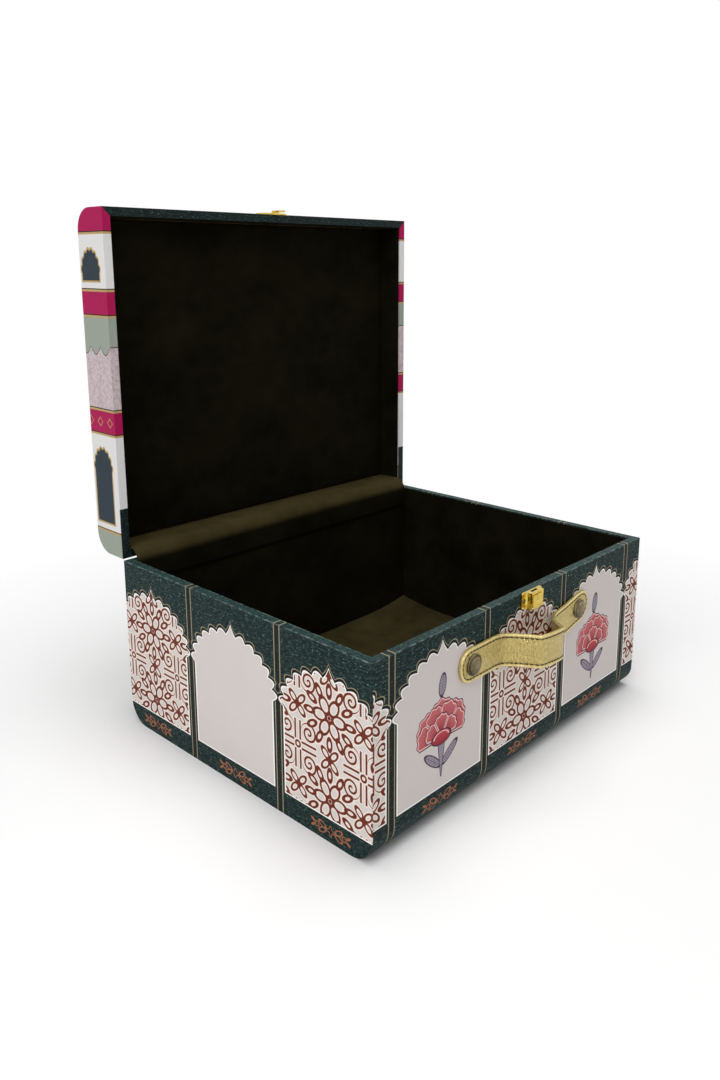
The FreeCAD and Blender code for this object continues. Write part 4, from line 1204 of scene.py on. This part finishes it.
def floor():
    """Pale floor that keeps the shadow near the trunk and runs out to white."""
    half = FLOOR.half
    corners = [(-half, -half, 0), (half, -half, 0), (half, half, 0), (-half, half, 0)]
    mesh = bpy.data.meshes.new("floor")
    mesh.from_pydata(corners, [], [(0, 1, 2, 3)])
    material, shader, (x, y, *_) = blank_material("floor")
    tree = material.node_tree
    shader.inputs["Base Color"].default_value = linear("floor")
    shader.inputs["Roughness"].default_value = FLOOR.roughness
    glow = tree.nodes.new("ShaderNodeEmission")
    mix = tree.nodes.new("ShaderNodeMixShader")
    away = between(hypot(x, y) * MM, FLOOR.shadow_start, FLOOR.shadow_end)
    plug(mix.inputs[0], away * seen_rays(tree))
    tree.links.new(shader.outputs[0], mix.inputs[1])
    tree.links.new(glow.outputs[0], mix.inputs[2])
    output = next(node for node in tree.nodes if node.type == "OUTPUT_MATERIAL")
    tree.links.new(mix.outputs[0], output.inputs[0])
    mesh.materials.append(material)
    add_object("floor", mesh)


# Lamps: place, target, size and power
LAMPS = {
    "key": ((-1.8, -0.5, 1.5), (0, 0, 0.12), 1.3, 22),
    "top": ((0.1, -0.1, 2.0), (0, 0, 0.1), 1.6, 26),
    "fill": ((0.9, -1.8, 0.9), (0, 0, 0.15), 1.4, 1.5),
}


def lamp(name, place, target, size, power):
    data = bpy.data.lights.new(name, "AREA")
    data.size = size
    data.energy = power
    thing = add_object(name, data)
    thing.location = place
    thing.rotation_euler = (Vector(target) - Vector(place)).to_track_quat("-Z", "Y").to_euler()


AMBIENT = 0.28


def surroundings():
    """White background over a softer light from all round."""
    world = bpy.data.worlds.new("studio")
    bpy.context.scene.world = world
    world.use_nodes = True
    tree = world.node_tree
    background = next(node for node in tree.nodes if node.type == "BACKGROUND")
    background.inputs["Color"].default_value = (1.0, 1.0, 1.0, 1.0)
    plug(background.inputs["Strength"], seen_rays(tree) * (1 - AMBIENT) + AMBIENT)


# Yaw is measured from +Y towards +X, and pitch from the level
CAMERA = Sizes(
    place=(-0.5885, -0.5305, 0.4183), yaw=math.radians(46.90), pitch=math.radians(-11.99),
    lens=29.515, sensor=36.0, shift=(-0.0152, -0.0834),
)


def camera():
    data = bpy.data.cameras.new("camera")
    data.sensor_width = CAMERA.sensor
    data.lens = CAMERA.lens
    data.shift_x, data.shift_y = CAMERA.shift
    thing = add_object("camera", data)
    thing.location = CAMERA.place
    thing.rotation_euler = (math.pi / 2 + CAMERA.pitch, 0.0, -CAMERA.yaw)
    bpy.context.scene.camera = thing


floor()
surroundings()
for name, settings in LAMPS.items():
    lamp(name, *settings)
camera()
bpy.context.scene.view_settings.view_transform = "Standard"
